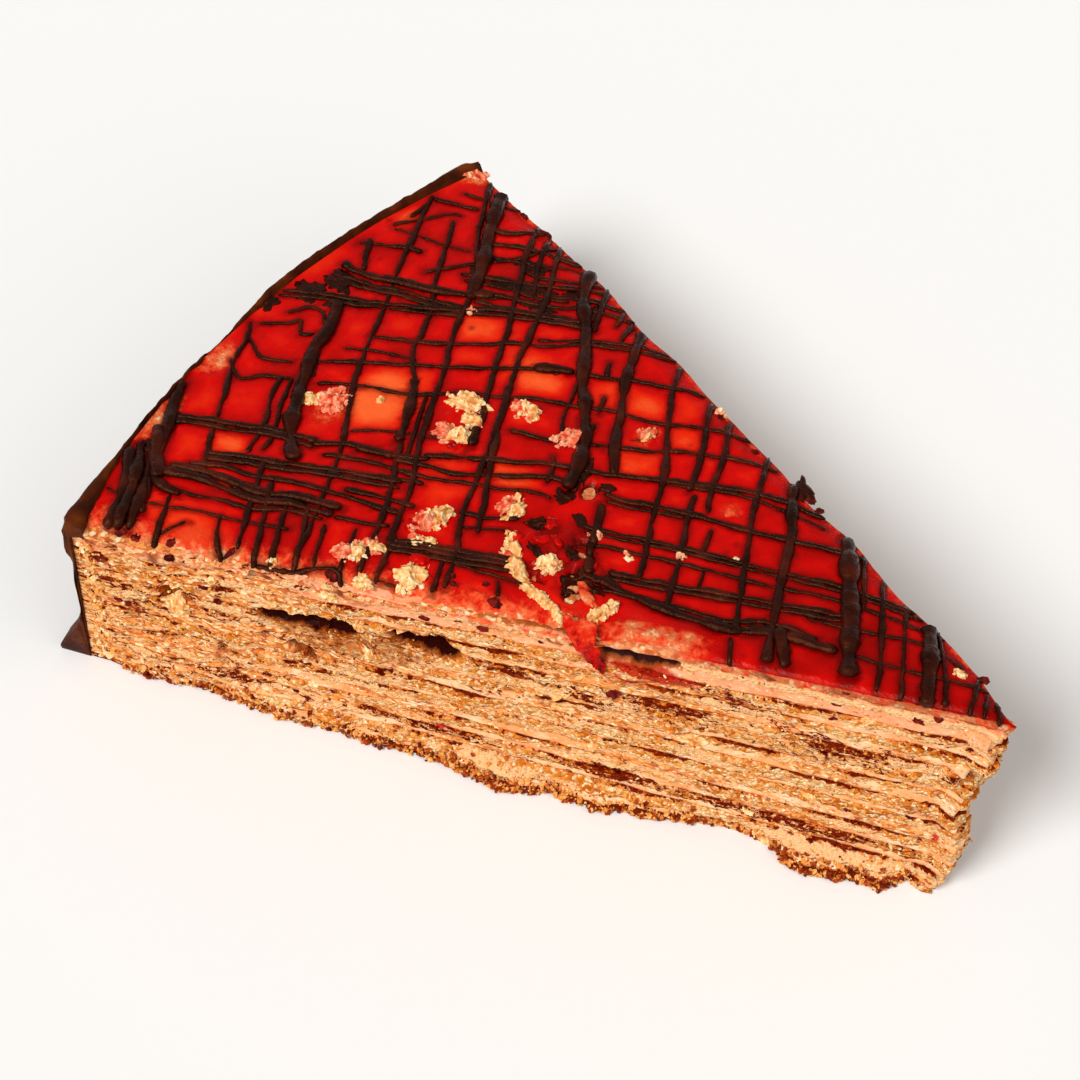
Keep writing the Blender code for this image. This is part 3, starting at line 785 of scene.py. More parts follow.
def glazeTop(x, y):
    roll = mix(glaze["tipRoll"], glaze["nearRoll"], nearShare(x))
    drop = mix(glaze["tipDrop"], glaze["nearDrop"], nearShare(x)) * (1 - ease(fromNear(x, y) / roll)) ** 1.6
    drop += 0.6 * (1 - ease(fromFar(x, y) / 3.0))
    z = height(x) - drop + flapLift(x, y)
    z += glaze["swell"] * noiseAt(x * 0.06, y * 0.06, 2.0)
    z += glaze["ripple"] * noiseAt(x * 0.24, y * 0.24, 5.0)
    shoulder = nearShare(x) * (1 - ease(fromNear(x, y) / 4.5))
    if shoulder > 0:
        z += shoulder * (0.55 * noiseAt(x * 0.5, y * 0.7, 1.0) + 0.4 * noiseAt(x * 1.5, y * 1.6, 6.0))
    for *oval, deep, _ in glazeDents:
        z -= deep * (1 - ease((within(x, y, *oval) - 0.5) / 0.7))
    for *oval, tall in glazeTears:
        inside = 1 - ease((within(x, y, *oval) - 0.5) / 0.6)
        if inside > 0:
            ridge = 0.55 - abs(noiseAt(x * 0.55, y * 0.55, 3.0)) * 2.4
            z += inside * tall * (ridge + 0.5 * noiseAt(x * 1.4, y * 1.4, 8.0))
    return z


# The chocolate threads piped on it
threadStyle = {
    "skin": 0.16,  # height of its bumps
    "spacing": 0.6,  # between the points of a thread
    "wobble": 0.16,  # how far it strays sideways
    "thinner": 0.76,  # the narrow ones, against the widths in the lists
    "uneven": 0.7,  # how much the width changes along it
    "flatten": 0.70,  # height of the piped tubes, against their width
    "sink": 0.12,  # how deep they go into the glaze
    "twinGap": 1.05,  # between the threads of a bundle, in widths
    "reach": 3.6,  # threads that end this near to the far edge go on to it
    "shoulder": 4.5,  # threads that end this near to the near cut, in the middle of it, go on towards it
    "shoulderPart": (-72, -48),
    "steepLift": 0.14,  # how much higher the crossing threads lie
}
# Each thread: width, how many lie side by side, then points (x, y). First those that run along the slice.
alongThreads = (
    (0.8, 1, (-119.7, 26.7), (-117.5, 29.5), (-114.5, 33.5), (-113, 34.2)),
    (0.7, 1, (-115.5, 38.2), (-111.5, 39.2)),
    (0.8, 1, (-118.5, 34.6), (-116.5, 35.2), (-111.5, 36.8)),
    (0.6, 1, (-119, 26.2), (-115, 27), (-111, 27.7), (-107, 28.9)),
    (0.9, 1, (-121.5, 21), (-118, 22.5), (-115, 24), (-112.5, 24.6)),
    (0.9, 1, (-109.5, 21.5), (-108, 23.5), (-105, 27), (-102.5, 29.5), (-100, 32), (-98.5, 34.5)),
    (1.1, 1, (-107.5, 34.3), (-104, 35.6), (-101.5, 37.6)),
    (0.9, 1, (-106.5, 31.5), (-101, 33.8), (-96, 35.0)),
    (0.7, 1, (-103.5, 29.8), (-98, 31.9), (-92.5, 34.4)),
    (1.0, 1, (-105, 24.5), (-100, 26.5), (-95.5, 28.5), (-90, 31), (-86.3, 33)),
    (0.9, 1, (-104, 23.6), (-98, 25.6), (-92, 28), (-86.3, 30.5), (-83, 31.4)),
    (1.0, 1, (-102, 22.5), (-96, 24.5), (-90, 26.5), (-86.3, 28.6), (-83, 29.6)),
    (0.8, 1, (-98, 30.2), (-94, 30.6), (-90, 32.6)),
    (1.0, 1, (-100, 21), (-95.5, 22.2), (-92, 23.6), (-86.3, 26)),
    (0.8, 1, (-97, 26.0), (-93, 26.6), (-89, 28.6)),
    (1.3, 1, (-120.5, 16), (-117, 16), (-113.5, 17), (-110, 18.1), (-106, 19.3), (-102, 21.2),
     (-98.5, 23.4)),
    (1.1, 2, (-120, 13.2), (-117, 14), (-113.5, 14.8), (-109.5, 16.2), (-105.5, 16.9), (-100, 18.5)),
    (1.2, 2, (-100, 18.6), (-96, 21), (-93, 22.4), (-86.3, 25.2), (-84, 26)),
    (1.1, 2, (-125, 5.6), (-122.5, 7), (-119, 8.9), (-114.5, 10.6), (-110.5, 12.6), (-105, 15.1),
     (-100, 18)),
    (0.8, 1, (-120.5, 3.6), (-118.6, 6.2), (-116.5, 6.6), (-114.8, 5.0)),
    (0.8, 1, (-108, 6.5), (-104, 8.5), (-100, 10.5), (-93.5, 15), (-90, 17.7), (-85.8, 19.8), (-81.7, 23),
     (-76.3, 25.4), (-70.4, 27.7)),
    (0.8, 1, (-88, 19.9), (-85.5, 21.3), (-81.2, 24.2), (-76, 26.6), (-71.5, 28.2)),
    (0.6, 1, (-109, 3), (-106, 4.5), (-102, 6), (-99.5, 6.8)),
    (0.9, 1, (-111, -1.6), (-107, 1), (-102, 4), (-96, 7.7), (-90, 11.6), (-86.3, 14.1), (-82.5, 16.4),
     (-79.6, 17.7), (-75.4, 19.3), (-71.3, 21.4), (-66.7, 23.2), (-61.7, 25.2)),
    (1.5, 1, (-85.0, 15.1), (-82.5, 16.4), (-80.0, 17.5)),
    (0.8, 1, (-108, -4.6), (-104, -2.1), (-100, -0.5), (-96, 1), (-92, 4.2), (-90, 6.1), (-85.8, 7.7),
     (-81.7, 10.2), (-76.3, 12.2), (-71, 14.6), (-65, 16.3), (-60.8, 18.5), (-54.6, 20.8), (-51, 21.6)),
    (0.8, 1, (-121, -8.2), (-118.5, -10), (-117, -9.9), (-115, -8), (-111.5, -6)),
    (0.7, 1, (-122, -3.6), (-120.2, -4.2), (-118, -5.3), (-115.5, -4.6), (-113.5, -3.4)),
    (0.7, 1, (-122.3, -0.4), (-119, 2), (-118, 3.5), (-116.2, 1.4), (-114.6, 2.6)),
    (0.6, 1, (-98.5, -9), (-96, -7.2), (-92, -5), (-86.3, -2.2)),
    (0.9, 1, (-80.5, 3.6), (-76.3, 4.8), (-72.5, 6.3), (-67.5, 9.1), (-63.3, 11), (-60, 13.5),
     (-56.7, 15.2), (-50, 17.8), (-45.2, 19.2)),
    (1.2, 2, (-120, -21.5), (-115.5, -19.2), (-111.5, -17.7), (-106.5, -15.3), (-101, -13.9)),
    (1.2, 1, (-101, -13.9), (-97, -11.2), (-93, -10.1), (-90, -9), (-86.3, -7)),
    (1.9, 1, (-95.8, -11.0), (-90.6, -9.4)),
    (0.8, 1, (-98.5, -14.6), (-93, -12.2), (-86.3, -10.4), (-82.5, -9), (-79.2, -7.3), (-75.8, -6),
     (-71.7, -3.8), (-68.6, -3)),
    (1.2, 1, (-87.2, -6.8), (-82.5, -4), (-77.5, -1.4), (-73.3, 1.2), (-69.2, 3), (-64.2, 5), (-60.8, 6.8),
     (-56.7, 9), (-50, 12.3), (-42.8, 14.4), (-36.3, 15.4)),
    (0.8, 1, (-58.5, 7.6), (-51.2, 10.9), (-46.5, 12.4), (-41.6, 13)),
    (0.9, 1, (-90, -9.8), (-85.8, -8.2), (-81.7, -7), (-78.3, -4.9), (-75, -2.9), (-71.3, -0.4),
     (-68.4, 0.4)),
    (1.2, 1, (-63.3, 1.7), (-60, 2.3), (-56.7, 3.8), (-50.8, 5.6), (-44, 7.4), (-37.8, 9.3), (-30.3, 11.9)),
    (0.8, 1, (-62.6, 0.9), (-59.6, 1.5), (-56.4, 2.9), (-52, 4.4)),
    (0.8, 2, (-62, -4.8), (-56.7, -3), (-50, -0.7), (-46.2, 0.5), (-38, 3), (-29.4, 5.8), (-18.5, 8.2)),
    (0.9, 1, (-77, -12.1), (-73.3, -10.7), (-70, -8.4)),
    (0.6, 1, (-75, -13.9), (-70, -11)),
    (0.7, 1, (-61.4, -7), (-54, -4.4), (-46, -1.9), (-36, 1.4), (-27.9, 4.2), (-16.8, 6.4)),
    (1.0, 2, (-55.1, -9.6), (-48.5, -7.2), (-42.4, -4.6), (-35, -1.6), (-26.2, 1.9)),
    (1.4, 1, (-58, -11.2), (-52, -10.6), (-45, -10), (-37, -8), (-32, -5.2), (-24, -3)),
    (1.0, 1, (-54, -11.8), (-45, -8.9), (-38, -6.9), (-33.6, -4.0), (-27, -2.7)),
    (0.6, 1, (-21.8, -2.3), (-15, -0.4), (-7.7, 2.1), (-5, 3)),
    (0.6, 1, (-30, -0.6), (-24, 1.2), (-16, 4.4), (-10, 4.2)),
    (1.2, 2, (-111.5, -24), (-107, -21.7), (-103, -20.1), (-98, -17.7), (-93, -15.6), (-86.3, -13)),
    (0.9, 1, (-112.5, -26.3), (-108, -24), (-104, -23.3), (-100, -21.5), (-93, -19.2), (-86.3, -17.8),
     (-83.3, -17)),
    (1.3, 2, (-114, -28.8), (-110, -27.2), (-105.5, -26.4), (-100, -25.4), (-96.5, -23.4), (-90, -21.6)),
    (0.9, 1, (-113, -31.2), (-108, -30.4), (-105, -29), (-100, -27.8), (-96, -25.2), (-91, -23.7)),
    (0.6, 1, (-119, -36.2), (-115.5, -36), (-111.5, -34.8), (-106.5, -32.5), (-100, -30.3), (-93.5, -27.6)),
    (0.8, 1, (-90, -13.6), (-87.5, -12.2), (-84, -11)),
    (0.9, 1, (-92, -17.9), (-86.7, -16), (-82.5, -14.9)),
    (0.7, 1, (-90, -22.5), (-86.3, -21.1), (-83, -19.5)),
    (1.1, 3, (-81.3, -22), (-77.5, -20.3), (-73.3, -18.7), (-70, -17.3), (-65.6, -15.4)),
    (0.8, 1, (-72.5, -19.6), (-67, -18.2), (-62.8, -17)),
    (1.0, 1, (-93.5, -34.4), (-91, -33.4), (-88, -31.8), (-86, -30), (-84, -29.2), (-82.5, -30.3)),
    (0.8, 1, (-79.2, -27.4), (-76.0, -26.6)),
)
# Then those that cross them
steepThreads = (
    (0.9, 1, (-119.2, 35.5), (-117.2, 30), (-115.5, 26), (-113.5, 20.5), (-111.5, 16), (-109.2, 11),
     (-107.5, 6.5), (-106, 3), (-104.7, 0), (-102, -4.7), (-99.2, -9.2), (-96, -15), (-92.4, -23.5),
     (-89.6, -30.5)),
    (0.9, 1, (-113, 32.5), (-110.7, 28), (-108.5, 23.5), (-106.5, 19.5), (-104.2, 16.3), (-102, 11),
     (-101, 8), (-98.5, 5), (-96, 2), (-93, -4), (-90, -9), (-86.3, -15.5), (-83.3, -22.6), (-81.9, -26.4)),
    (0.9, 1, (-113.5, 42), (-111, 37.5), (-108.3, 32.5), (-105.5, 28.5)),
    (1.8, 1, (-110.3, 40.4), (-107.6, 34.5), (-105.2, 30.3), (-103.5, 27), (-102, 23.5), (-100.7, 20.9)),
    (1.0, 1, (-101, 21), (-99.6, 17), (-97.4, 11.8), (-95.2, 8), (-93.2, 3.6), (-91.6, -0.2),
     (-88.6, -6.4), (-85.8, -11), (-84.2, -14.2), (-82.6, -18.6), (-81.0, -22.4)),
    (1.1, 1, (-101.8, 38.4), (-100, 33.5), (-97.5, 28.5), (-95, 23.5), (-93, 19.8), (-91, 15.4),
     (-89.5, 12), (-87, 6.6), (-84.6, 2.6)),
    (0.9, 1, (-99, 37.8), (-98, 34.5), (-95.5, 29.5), (-93.5, 26)),
    (1.1, 1, (-96.5, 36.6), (-94.5, 32.5), (-92, 27.5), (-90, 21.8), (-88.3, 16.4), (-86.7, 12.7),
     (-85, 9), (-83, 4.3), (-80.8, 0.6), (-78.3, -4), (-75.8, -8.2), (-74.2, -11), (-72.8, -13.6)),
    (1.3, 1, (-97.1, 3.6), (-95, 0), (-93, -3.8), (-91.8, -6.8)),
    (0.7, 1, (-94.2, 2.6), (-91.4, -3.4), (-88.4, -9.6)),
    (1.0, 1, (-85.9, 10.2), (-83.8, 6.4), (-81.9, 1.8), (-80, -2.8), (-78.3, -7), (-77, -11),
     (-74.6, -15.3), (-72.5, -19), (-70.6, -23.6)),
    (1.3, 1, (-84.6, 1.6), (-83.2, -1.8)),
    (1.8, 1, (-89.4, 34), (-88, 31), (-85.8, 28), (-83.7, 25.6), (-82, 23), (-79.5, 19.3), (-78, 16.8),
     (-75.8, 14.2), (-73.3, 11), (-71.2, 8.2), (-70, 6), (-68.7, 3), (-67.9, -0.8)),
    (1.2, 1, (-85.2, 32.2), (-84, 29.4), (-82.4, 25.6)),
    (0.8, 1, (-81.2, 31.0), (-80.4, 28.4)),
    (0.8, 1, (-79, 29.6), (-78, 26)),
    (0.7, 1, (-78.3, 16.4), (-77, 12.7), (-75.8, 9.3), (-74.2, 6.8)),
    (1.3, 1, (-77, 30.2), (-75.4, 26), (-73.7, 21.8), (-72.5, 19.1), (-70.4, 15.6), (-68.3, 11.4),
     (-66.2, 7.8), (-64.2, 5.2)),
    (1.2, 1, (-71.8, 10.8), (-70.4, 7.4), (-69.2, 5)),
    (1.0, 1, (-77.1, 22), (-75.6, 19.2)),
    (0.9, 1, (-73.7, 16), (-72.4, 13)),
    (0.9, 1, (-72.9, 3), (-71.7, 1.6), (-70.7, -1.2)),
    (1.3, 1, (-62.5, -0.2), (-60.8, -3.2), (-59.2, -7), (-56.8, -11)),
    (1.1, 1, (-68.3, 26.6), (-66.7, 22.7), (-65, 19.3), (-63, 16), (-60.8, 12.5), (-58.3, 8.3), (-57, 5.2),
     (-55.4, 1.4), (-53.8, -1.7), (-51, -7.8)),
    (1.2, 1, (-61.8, 25.2), (-59.6, 20.6), (-57.5, 16.6), (-55.8, 12.7), (-54.4, 8.6)),
    (1.0, 1, (-53.4, 8.4), (-51.7, 4.3), (-49.4, -0.4), (-45.5, -9.3)),
    (1.0, 1, (-57.6, 23.8), (-55.8, 19.8), (-53.8, 15.8), (-52.5, 11.6), (-50.2, 6.8)),
    (0.8, 1, (-48.1, 4.8), (-46.9, 0.5)),
    (1.0, 1, (-49.6, 21), (-47.6, 16), (-45.7, 11.1), (-43, 5.6), (-40.4, 0.5), (-38.2, -3.8),
     (-36.4, -7.3)),
    (0.6, 1, (-44.8, -1.9), (-43.8, -5)),
    (1.4, 1, (-44.8, 19.2), (-42, 14.6), (-39, 9.7), (-36.8, 4.8), (-35, 0.6), (-33, -3.6), (-30.9, -8.2)),
    (1.7, 1, (-31.7, -4.3), (-28.9, -7.6)),
    (2.4, 1, (-31.6, 11.9), (-28.4, 7.0), (-25.6, 2.7), (-21.6, -4)),
    (0.9, 1, (-28.6, 11.0), (-25, 4.8)),
    (0.8, 1, (-24.9, 9.6), (-22, 4.6), (-19.1, -0.5), (-17.4, -3.8)),
    (0.7, 1, (-20.6, 8.2), (-17.4, 2.4), (-14.4, -3.2)),
    (2.1, 1, (-16.8, 7.6), (-14.4, 3.6), (-11.3, -2.3)),
    (0.9, 1, (-14.6, 6.6), (-11.6, 2.4), (-9.4, -1.1)),
    (0.8, 1, (-7.4, 3.8), (-5.8, -0.8)),
    (0.7, 1, (-5.4, 2.8), (-4.0, -0.8)),
    (0.9, 1, (-3.6, 1.6), (-2, -0.4)),
    (1.9, 1, (-115.5, 9), (-113.5, 4.5), (-112.5, 0), (-110, -5), (-108, -9), (-106, -12.5), (-103, -16),
     (-101, -17.8)),
    (1.2, 1, (-113.2, 1), (-111.2, -4.2), (-109.2, -8.0)),
    (0.8, 1, (-123.5, -1), (-121.5, -4.5), (-120, -9), (-117, -14), (-114.5, -19), (-111.5, -23.7),
     (-108.8, -28)),
    (0.8, 1, (-113, -6.5), (-111.5, -10.5), (-109, -14.5), (-107.3, -20.2)),
    (0.8, 1, (-111.5, -6), (-109.5, -10.5), (-106.7, -15.5), (-105.8, -18.8)),
    (1.7, 1, (-124.0, -13.8), (-122, -18.5), (-119.5, -22.7), (-116.5, -28), (-114.0, -31)),
    (0.9, 1, (-110.6, -32.3), (-107.3, -38.6)),
    (0.7, 1, (-106.6, -36.6), (-105.6, -34.6)),
    (0.9, 1, (-104.3, -20.2), (-101.6, -25.4), (-97.8, -32.6)),
    (0.9, 1, (-101, -22.5), (-97.6, -28), (-94.4, -33.6)),
    (0.9, 1, (-97.2, -23.4), (-94, -29.4), (-92.2, -32.8)),
    (0.9, 1, (-94, -23), (-91.3, -27.6), (-89.4, -31.3)),
    (0.9, 1, (-102.6, -31.1), (-100.6, -34), (-98.4, -36)),
    (1.5, 1, (-121, -28.8), (-117, -34.2), (-114.4, -39.7)),
    (1.7, 1, (-120, -27.6), (-116, -33.5), (-113.2, -39.2)),
    (1.5, 1, (-118.5, -26.9), (-114.5, -33), (-112, -38.2)),
    (1.6, 1, (-119.8, -24), (-116.9, -28.2), (-113.5, -31.6), (-109.6, -31.4)),
    (1.2, 1, (-117.2, -28), (-113.8, -33), (-111.6, -36.8)),
    (0.9, 1, (-120.6, 22.4), (-118.9, 19.4), (-117.2, 16.8)),
    (0.8, 1, (-118.2, 33.6), (-118.8, 29.6)),
    (0.8, 1, (-81.5, -20.2), (-79.2, -26.2)),
    (0.8, 1, (-90, -24.4), (-87.8, -29)),
    (0.8, 1, (-86.2, -22.4), (-84.2, -27.8)),
    (0.8, 1, (-74, -19), (-72.2, -23.4)),
    (0.7, 1, (-36, -9), (-34.4, -11.5)),
    (0.7, 1, (-65.6, -18.6), (-64.2, -20.4)),
)
# Puddles and smears of chocolate: x, y, half sizes, turn, thickness
chocolateSmears = (
    (-118.4, 13.2, 3.0, 2.2, 15, 0.5), (-116.2, 9.6, 2.4, 1.1, 30, 0.4), (-121.0, 9.0, 2.2, 2.4, 10, 0.5),
    (-96.4, 27.2, 4.0, 1.6, 22, 0.35), (-92.4, 25.2, 3.6, 1.2, 20, 0.35),
    (-97.6, 31.6, 2.6, 1.2, 10, 0.35), (-89.6, 29.8, 2.0, 1.0, 25, 0.35),
    (-104.6, -25.6, 3.0, 0.8, 8, 0.4), (-102.4, -20.0, 2.4, 0.6, 20, 0.35),
    (-118.8, -27.0, 1.2, 2.2, 35, 0.45), (-115.6, -30.6, 1.6, 1.0, -40, 0.45),
    (-110.8, -27.2, 1.8, 0.8, 20, 0.35), (-67.6, 2.6, 1.0, 2.6, 15, 0.6), (-63.6, 2.6, 1.4, 0.7, 20, 0.5),
    (-67.2, -1.8, 1.5, 1.2, 0, 0.5), (-67.6, -7.6, 1.6, 1.0, 40, 0.5), (-63.2, -4.0, 1.4, 0.8, -30, 0.45),
    (-58.0, -12.6, 1.6, 2.4, 10, 0.5), (-60.6, -9.0, 0.9, 1.8, 30, 0.45),
    (-64.8, -11.6, 2.0, 0.8, -20, 0.4), (-55.4, -12.4, 2.6, 0.8, 5, 0.4),
    (-73.0, -18.4, 4.4, 1.1, 20, 0.4), (-42.2, 17.9, 2.2, 1.4, -35, 0.7), (-34.0, -5.4, 2.2, 0.9, 25, 0.4),
    (-110.8, -3.4, 1.3, 2.6, 20, 0.5), (-124.0, 3.6, 1.2, 2.0, -10, 0.5),
    (-98.6, 23.2, 2.4, 0.9, 25, 0.35), (-80.6, -21.2, 1.4, 0.9, 0, 0.4), (-103.6, 27.0, 1.0, 2.4, 30, 0.4),
    (-84.6, 27.6, 1.0, 2.4, 30, 0.5),
)
# Dried wine brown drops: x, y, length, width, turn
wineDrops = (
    (-111.9, -40.6, 1.9, 1.4, 60), (-109.8, -40.2, 2.0, 1.5, 70), (-105.2, -38.4, 2.4, 1.3, 80),
    (-104.2, -39.6, 1.8, 1.3, 40), (-97.6, -34.9, 2.4, 1.0, 75), (-53.6, -19.2, 1.6, 1.1, 30),
    (-53.3, -18.2, 2.2, 1.2, 60), (-64.0, -21.4, 2.2, 1.5, 20), (-70.0, -22.2, 1.5, 1.2, 0),
    (-84.2, -30.0, 2.4, 1.4, 10), (-58.8, 22.8, 1.5, 1.0, 10), (-101.5, -18.2, 2.4, 1.8, 60),
    (-41.0, 17.4, 3.0, 1.6, -35), (-38.6, 16.2, 1.4, 1.1, 0), (-82.0, 16.2, 2.2, 1.5, 25),
    (-6.9, 4.2, 1.8, 1.3, 20), (-20.8, 8.0, 1.4, 1.0, 0), (-51.4, 20.0, 1.4, 1.0, 0),
    (-78.6, 29.8, 1.8, 1.1, 20), (-118.2, 18.6, 1.3, 1.0, 0), (-100.4, 38.6, 2.6, 1.3, -20),
    (-94.6, 36.2, 2.2, 1.2, -30), (-89.0, 34.2, 2.6, 1.4, -15), (-105.4, 40.0, 2.2, 1.0, -20),
    (-66.6, -19.8, 1.2, 0.9, 20), (-71.0, -21.4, 1.3, 1.0, 40), (-16.4, 7.4, 2.0, 1.6, -30),
    (-31.0, 12.2, 2.2, 1.5, -20),
)


def smoothPath(points, spacing):
    # a smooth line through the points, with a point every so often
    found = []
    count = len(points)
    for at in range(count - 1):
        before, first = Vector(points[max(at - 1, 0)]), Vector(points[at])
        last, after = Vector(points[at + 1]), Vector(points[min(at + 2, count - 1)])
        steps = max(2, round((last - first).length / spacing))
        bend = 2 * before - 5 * first + 4 * last - after
        twist = 3 * first - before - 3 * last + after
        for step in range(steps + (at == count - 2)):
            t = step / steps
            found.append(0.5 * (2 * first + (last - before) * t + bend * t**2 + twist * t**3))
    return found


def reachEdge(points):
    # lengthens a thread that ends close to the far edge or high on the near shoulder
    for end, inner in ((0, 1), (-1, -2)):
        if fromFar(*points[end]) < threadStyle["reach"]:
            outward = (points[end] - points[inner]).normalized()
            if outward.y > 0.1:
                points[end] = points[end] + outward * threadStyle["reach"] * 1.5
        low, high = threadStyle["shoulderPart"]
        if fromNear(*points[end]) < threadStyle["shoulder"] and not low < points[end].x < high:
            outward = (points[end] - points[inner]).normalized()
            if outward.y < -0.5:
                points[end] = points[end] + outward * min(1.6, fromNear(*points[end]) - 0.3)
    return points


def threadPath(points, seed):
    placed = []
    for point in smoothPath(reachEdge(points), threadStyle["spacing"]):
        wander = threadStyle["wobble"]
        x = point.x + wander * noiseAt(point.x * 0.5, point.y * 0.5, seed)
        y = point.y + wander * noiseAt(point.x * 0.5, point.y * 0.5, seed + 30)
        if math.hypot(x, y) < cake["radius"] + 0.8 and fromFar(x, y) > -0.1 and x < -0.9:
            placed.append((x, y))
    return placed


def listThreads():
    # every single thread: its width, its lift over the glaze, a seed and its points
    found = []
    for family, lift in ((alongThreads, 0.0), (steepThreads, threadStyle["steepLift"])):
        for width, count, *points in family:
            width *= threadStyle["thinner"] if width < 1.3 else 1.0
            start, end = Vector(points[0]), Vector(points[-1])
            direction = (end - start).normalized()
            for twin in range(count):
                seed = len(found) + 1
                gap = width * threadStyle["twinGap"] * (twin - (count - 1) / 2)
                aside = Vector((-direction.y, direction.x)) * gap
                slide = direction * (1.2 * noiseAt(seed * 3.3, 0, 0)) if count > 1 else Vector((0, 0))
                moved = [Vector(point) + aside for point in points]
                moved[0] += slide
                moved[-1] += slide
                path = threadPath(moved, seed)
                if len(path) > 1:
                    found.append((width, lift + 0.1 * (twin % 2), seed, path))
    return found


threads = listThreads()
threadTree = KDTree(sum(len(path) for *_, path in threads))
threadWidths = []
for threadWidth, _, _, path in threads:
    for x, y in path:
        threadTree.insert((x, y, 0.0), len(threadWidths))
        threadWidths.append(threadWidth)
threadTree.balance()


def fromThread(x, y):
    # distance to the side of the nearest thread
    _, at, distance = threadTree.find((x, y, 0.0))
    return distance - threadWidths[at] / 2


def spread(share):
    # closer rows by the two cuts
    return share - 0.70 * math.sin(2 * math.pi * share) / (2 * math.pi)


def hemAt(x):
    ragged = 0.5 * noiseAt(x * 0.45, 2.0, 0.0) + 0.5 * noiseAt(x * 1.5, 5.0, 0.0)
    return readOff(glazeHem, -x) + ragged * mix(0.4, 1.6, nearShare(x))


def glazeWarmthAndLight(x, y, gap):
    warm = 0.36 - 0.10 * ease((x + 50) / 30) + 0.10 * noiseAt(x * 0.08, y * 0.08, 7.0)
    # painted light: brighter in the middle of each space between the threads, away from the painted shade
    # beside them
    warm += 0.16 * ease(gap / 2.6) - 0.06
    # thin places and painted broad reflections, and deep places below 0
    for *oval, strength in warmAndLitSpots:
        warm += strength * (1 - ease(within(x, y, *oval) - 0.25))
    return warm


def glazeFilm(x, y):
    # how thin the glaze lies: over the shoulder, at the far edge, by the flap and in the bare patches
    roll = mix(1.2, glaze["nearRoll"] + 0.8, nearShare(x))
    film = mix(0.15, 0.72, nearShare(x)) * (1 - ease(fromNear(x, y) / roll))
    film = max(film, 0.30 * (1 - ease(fromFar(x, y) / 1.2)))
    film = max(film, 0.64 * bump(-x, 35, 52) * (1 - ease((fromNear(x, y) - 2.5) / 2.0)))
    for *oval, strength in bareSpots:
        film = max(film, strength * (1 - ease(within(x, y, *oval) - 0.4)))
    return film


def glazeDarkAndDentShade(x, y):
    # how dark the glaze is: darker in the torn place by the near cut, and painted shade in the dents
    deep = 0.55 * (1 - ease((within(x, y, *glaze["tornOval"]) - 0.4) / 0.7))
    deep *= 0.75 + 1.2 * noiseAt(x * 0.5, y * 0.5, 12.0)
    for *oval, _, dark in glazeDents:
        deep = max(deep, dark * (1 - ease((within(x, y, *oval) - 0.7) / 0.4)))
    return min(max(deep, 0.0), 1.0)


def glazePlace(u, v):
    # where a point of the flat grid lies on the slice
    x = -glazeRadius + (glazeRadius - 0.15) * (u + 1) / 2
    share = spread((v + 1) / 2)
    half = min(halfWidth(x, glazeRadius), max(-x * cutSlope, 0.3))
    y = (2 * share - 1) * half + farBulge(x) * share**4
    y += glaze["inset"] * (1 - nearShare(x)) * (1 - share) ** 4
    reach = ease((math.hypot(x, y) - glazeRadius + 6) / 6)
    x -= glaze["nearRim"] * reach * ease((-y + 1) / 6) + glaze["farRim"] * reach * ease((y + 1) / 8)
    return x - rimSwell(y) * reach, y


def hemPlace(x, y, near, out, down):
    # a point of the hem below the edge point x, y
    top = glazeTop(x, y)
    hang = hemAt(x) if near else 1.0
    wiggle = out * (1 + 0.5 * noiseAt(x * 0.7, down * 3, 1.0))
    nx, ny = cutSine, -cutCosine if near else cutCosine
    if math.hypot(x, y) > glazeRadius - 0.05:
        nx, ny = x / glazeRadius, y / glazeRadius
        wiggle, hang = min(wiggle, 0.0), min(hang, 1.0)
    elif near:
        wiggle *= mix(1.0, 1.6, nearShare(x))
    return x + nx * wiggle, y + ny * wiggle, top - max(hang - (height(x) - top), 0.35) * down


def addHemRing(bm, edges, base, film, out, down, thinner):
    # one more ring of points round the glaze, under the last one
    made = bmesh.ops.extrude_edge_only(bm, edges=edges)["geom"]
    follow = {}
    for vert in (part for part in made if isinstance(part, bmesh.types.BMVert)):
        upper = next(edge.other_vert(vert) for edge in vert.link_edges if edge.other_vert(vert) in base)
        x, y = follow[vert] = base[upper]
        near = fromNear(x, y) < 0.01
        vert.co = hemPlace(x, y, near, out, down)
        more = mix(0.4, 0.8, nearShare(x)) if near else 0.3
        vert[film] = min(vert[film] + thinner * more, 1.1)
    return [part for part in made if isinstance(part, bmesh.types.BMEdge) and part.is_boundary], follow


def makeGlaze():
    bm = bmesh.new()
    marks = {name: bm.verts.layers.float.new(name) for name in ("warm", "film", "threadShadow", "deep")}
    bmesh.ops.create_grid(bm, x_segments=glaze["columns"], y_segments=glaze["rows"], size=1.0)
    base = {}
    for vert in bm.verts:
        x, y = base[vert] = glazePlace(vert.co.x, vert.co.y)
        gap = fromThread(x, y)
        vert.co = (x, y, glazeTop(x, y))
        vert[marks["warm"]] = glazeWarmthAndLight(x, y, gap)
        vert[marks["film"]] = glazeFilm(x, y)
        # painted shade beside the threads
        vert[marks["threadShadow"]] = 1 - ease(gap / glaze["threadShadow"])
        vert[marks["deep"]] = glazeDarkAndDentShade(x, y)
    edges = [edge for edge in bm.edges if edge.is_boundary]
    for out, down, thinner in hemRings:
        edges, base = addHemRing(bm, edges, base, marks["film"], out, down, thinner)
    bmesh.ops.holes_fill(bm, edges=edges, sides=0)
    bmesh.ops.recalc_face_normals(bm, faces=bm.faces[:])
    return finishPiece("raspberryGlaze", bm, "gel", ["raspberry_glaze"])


makeGlaze()


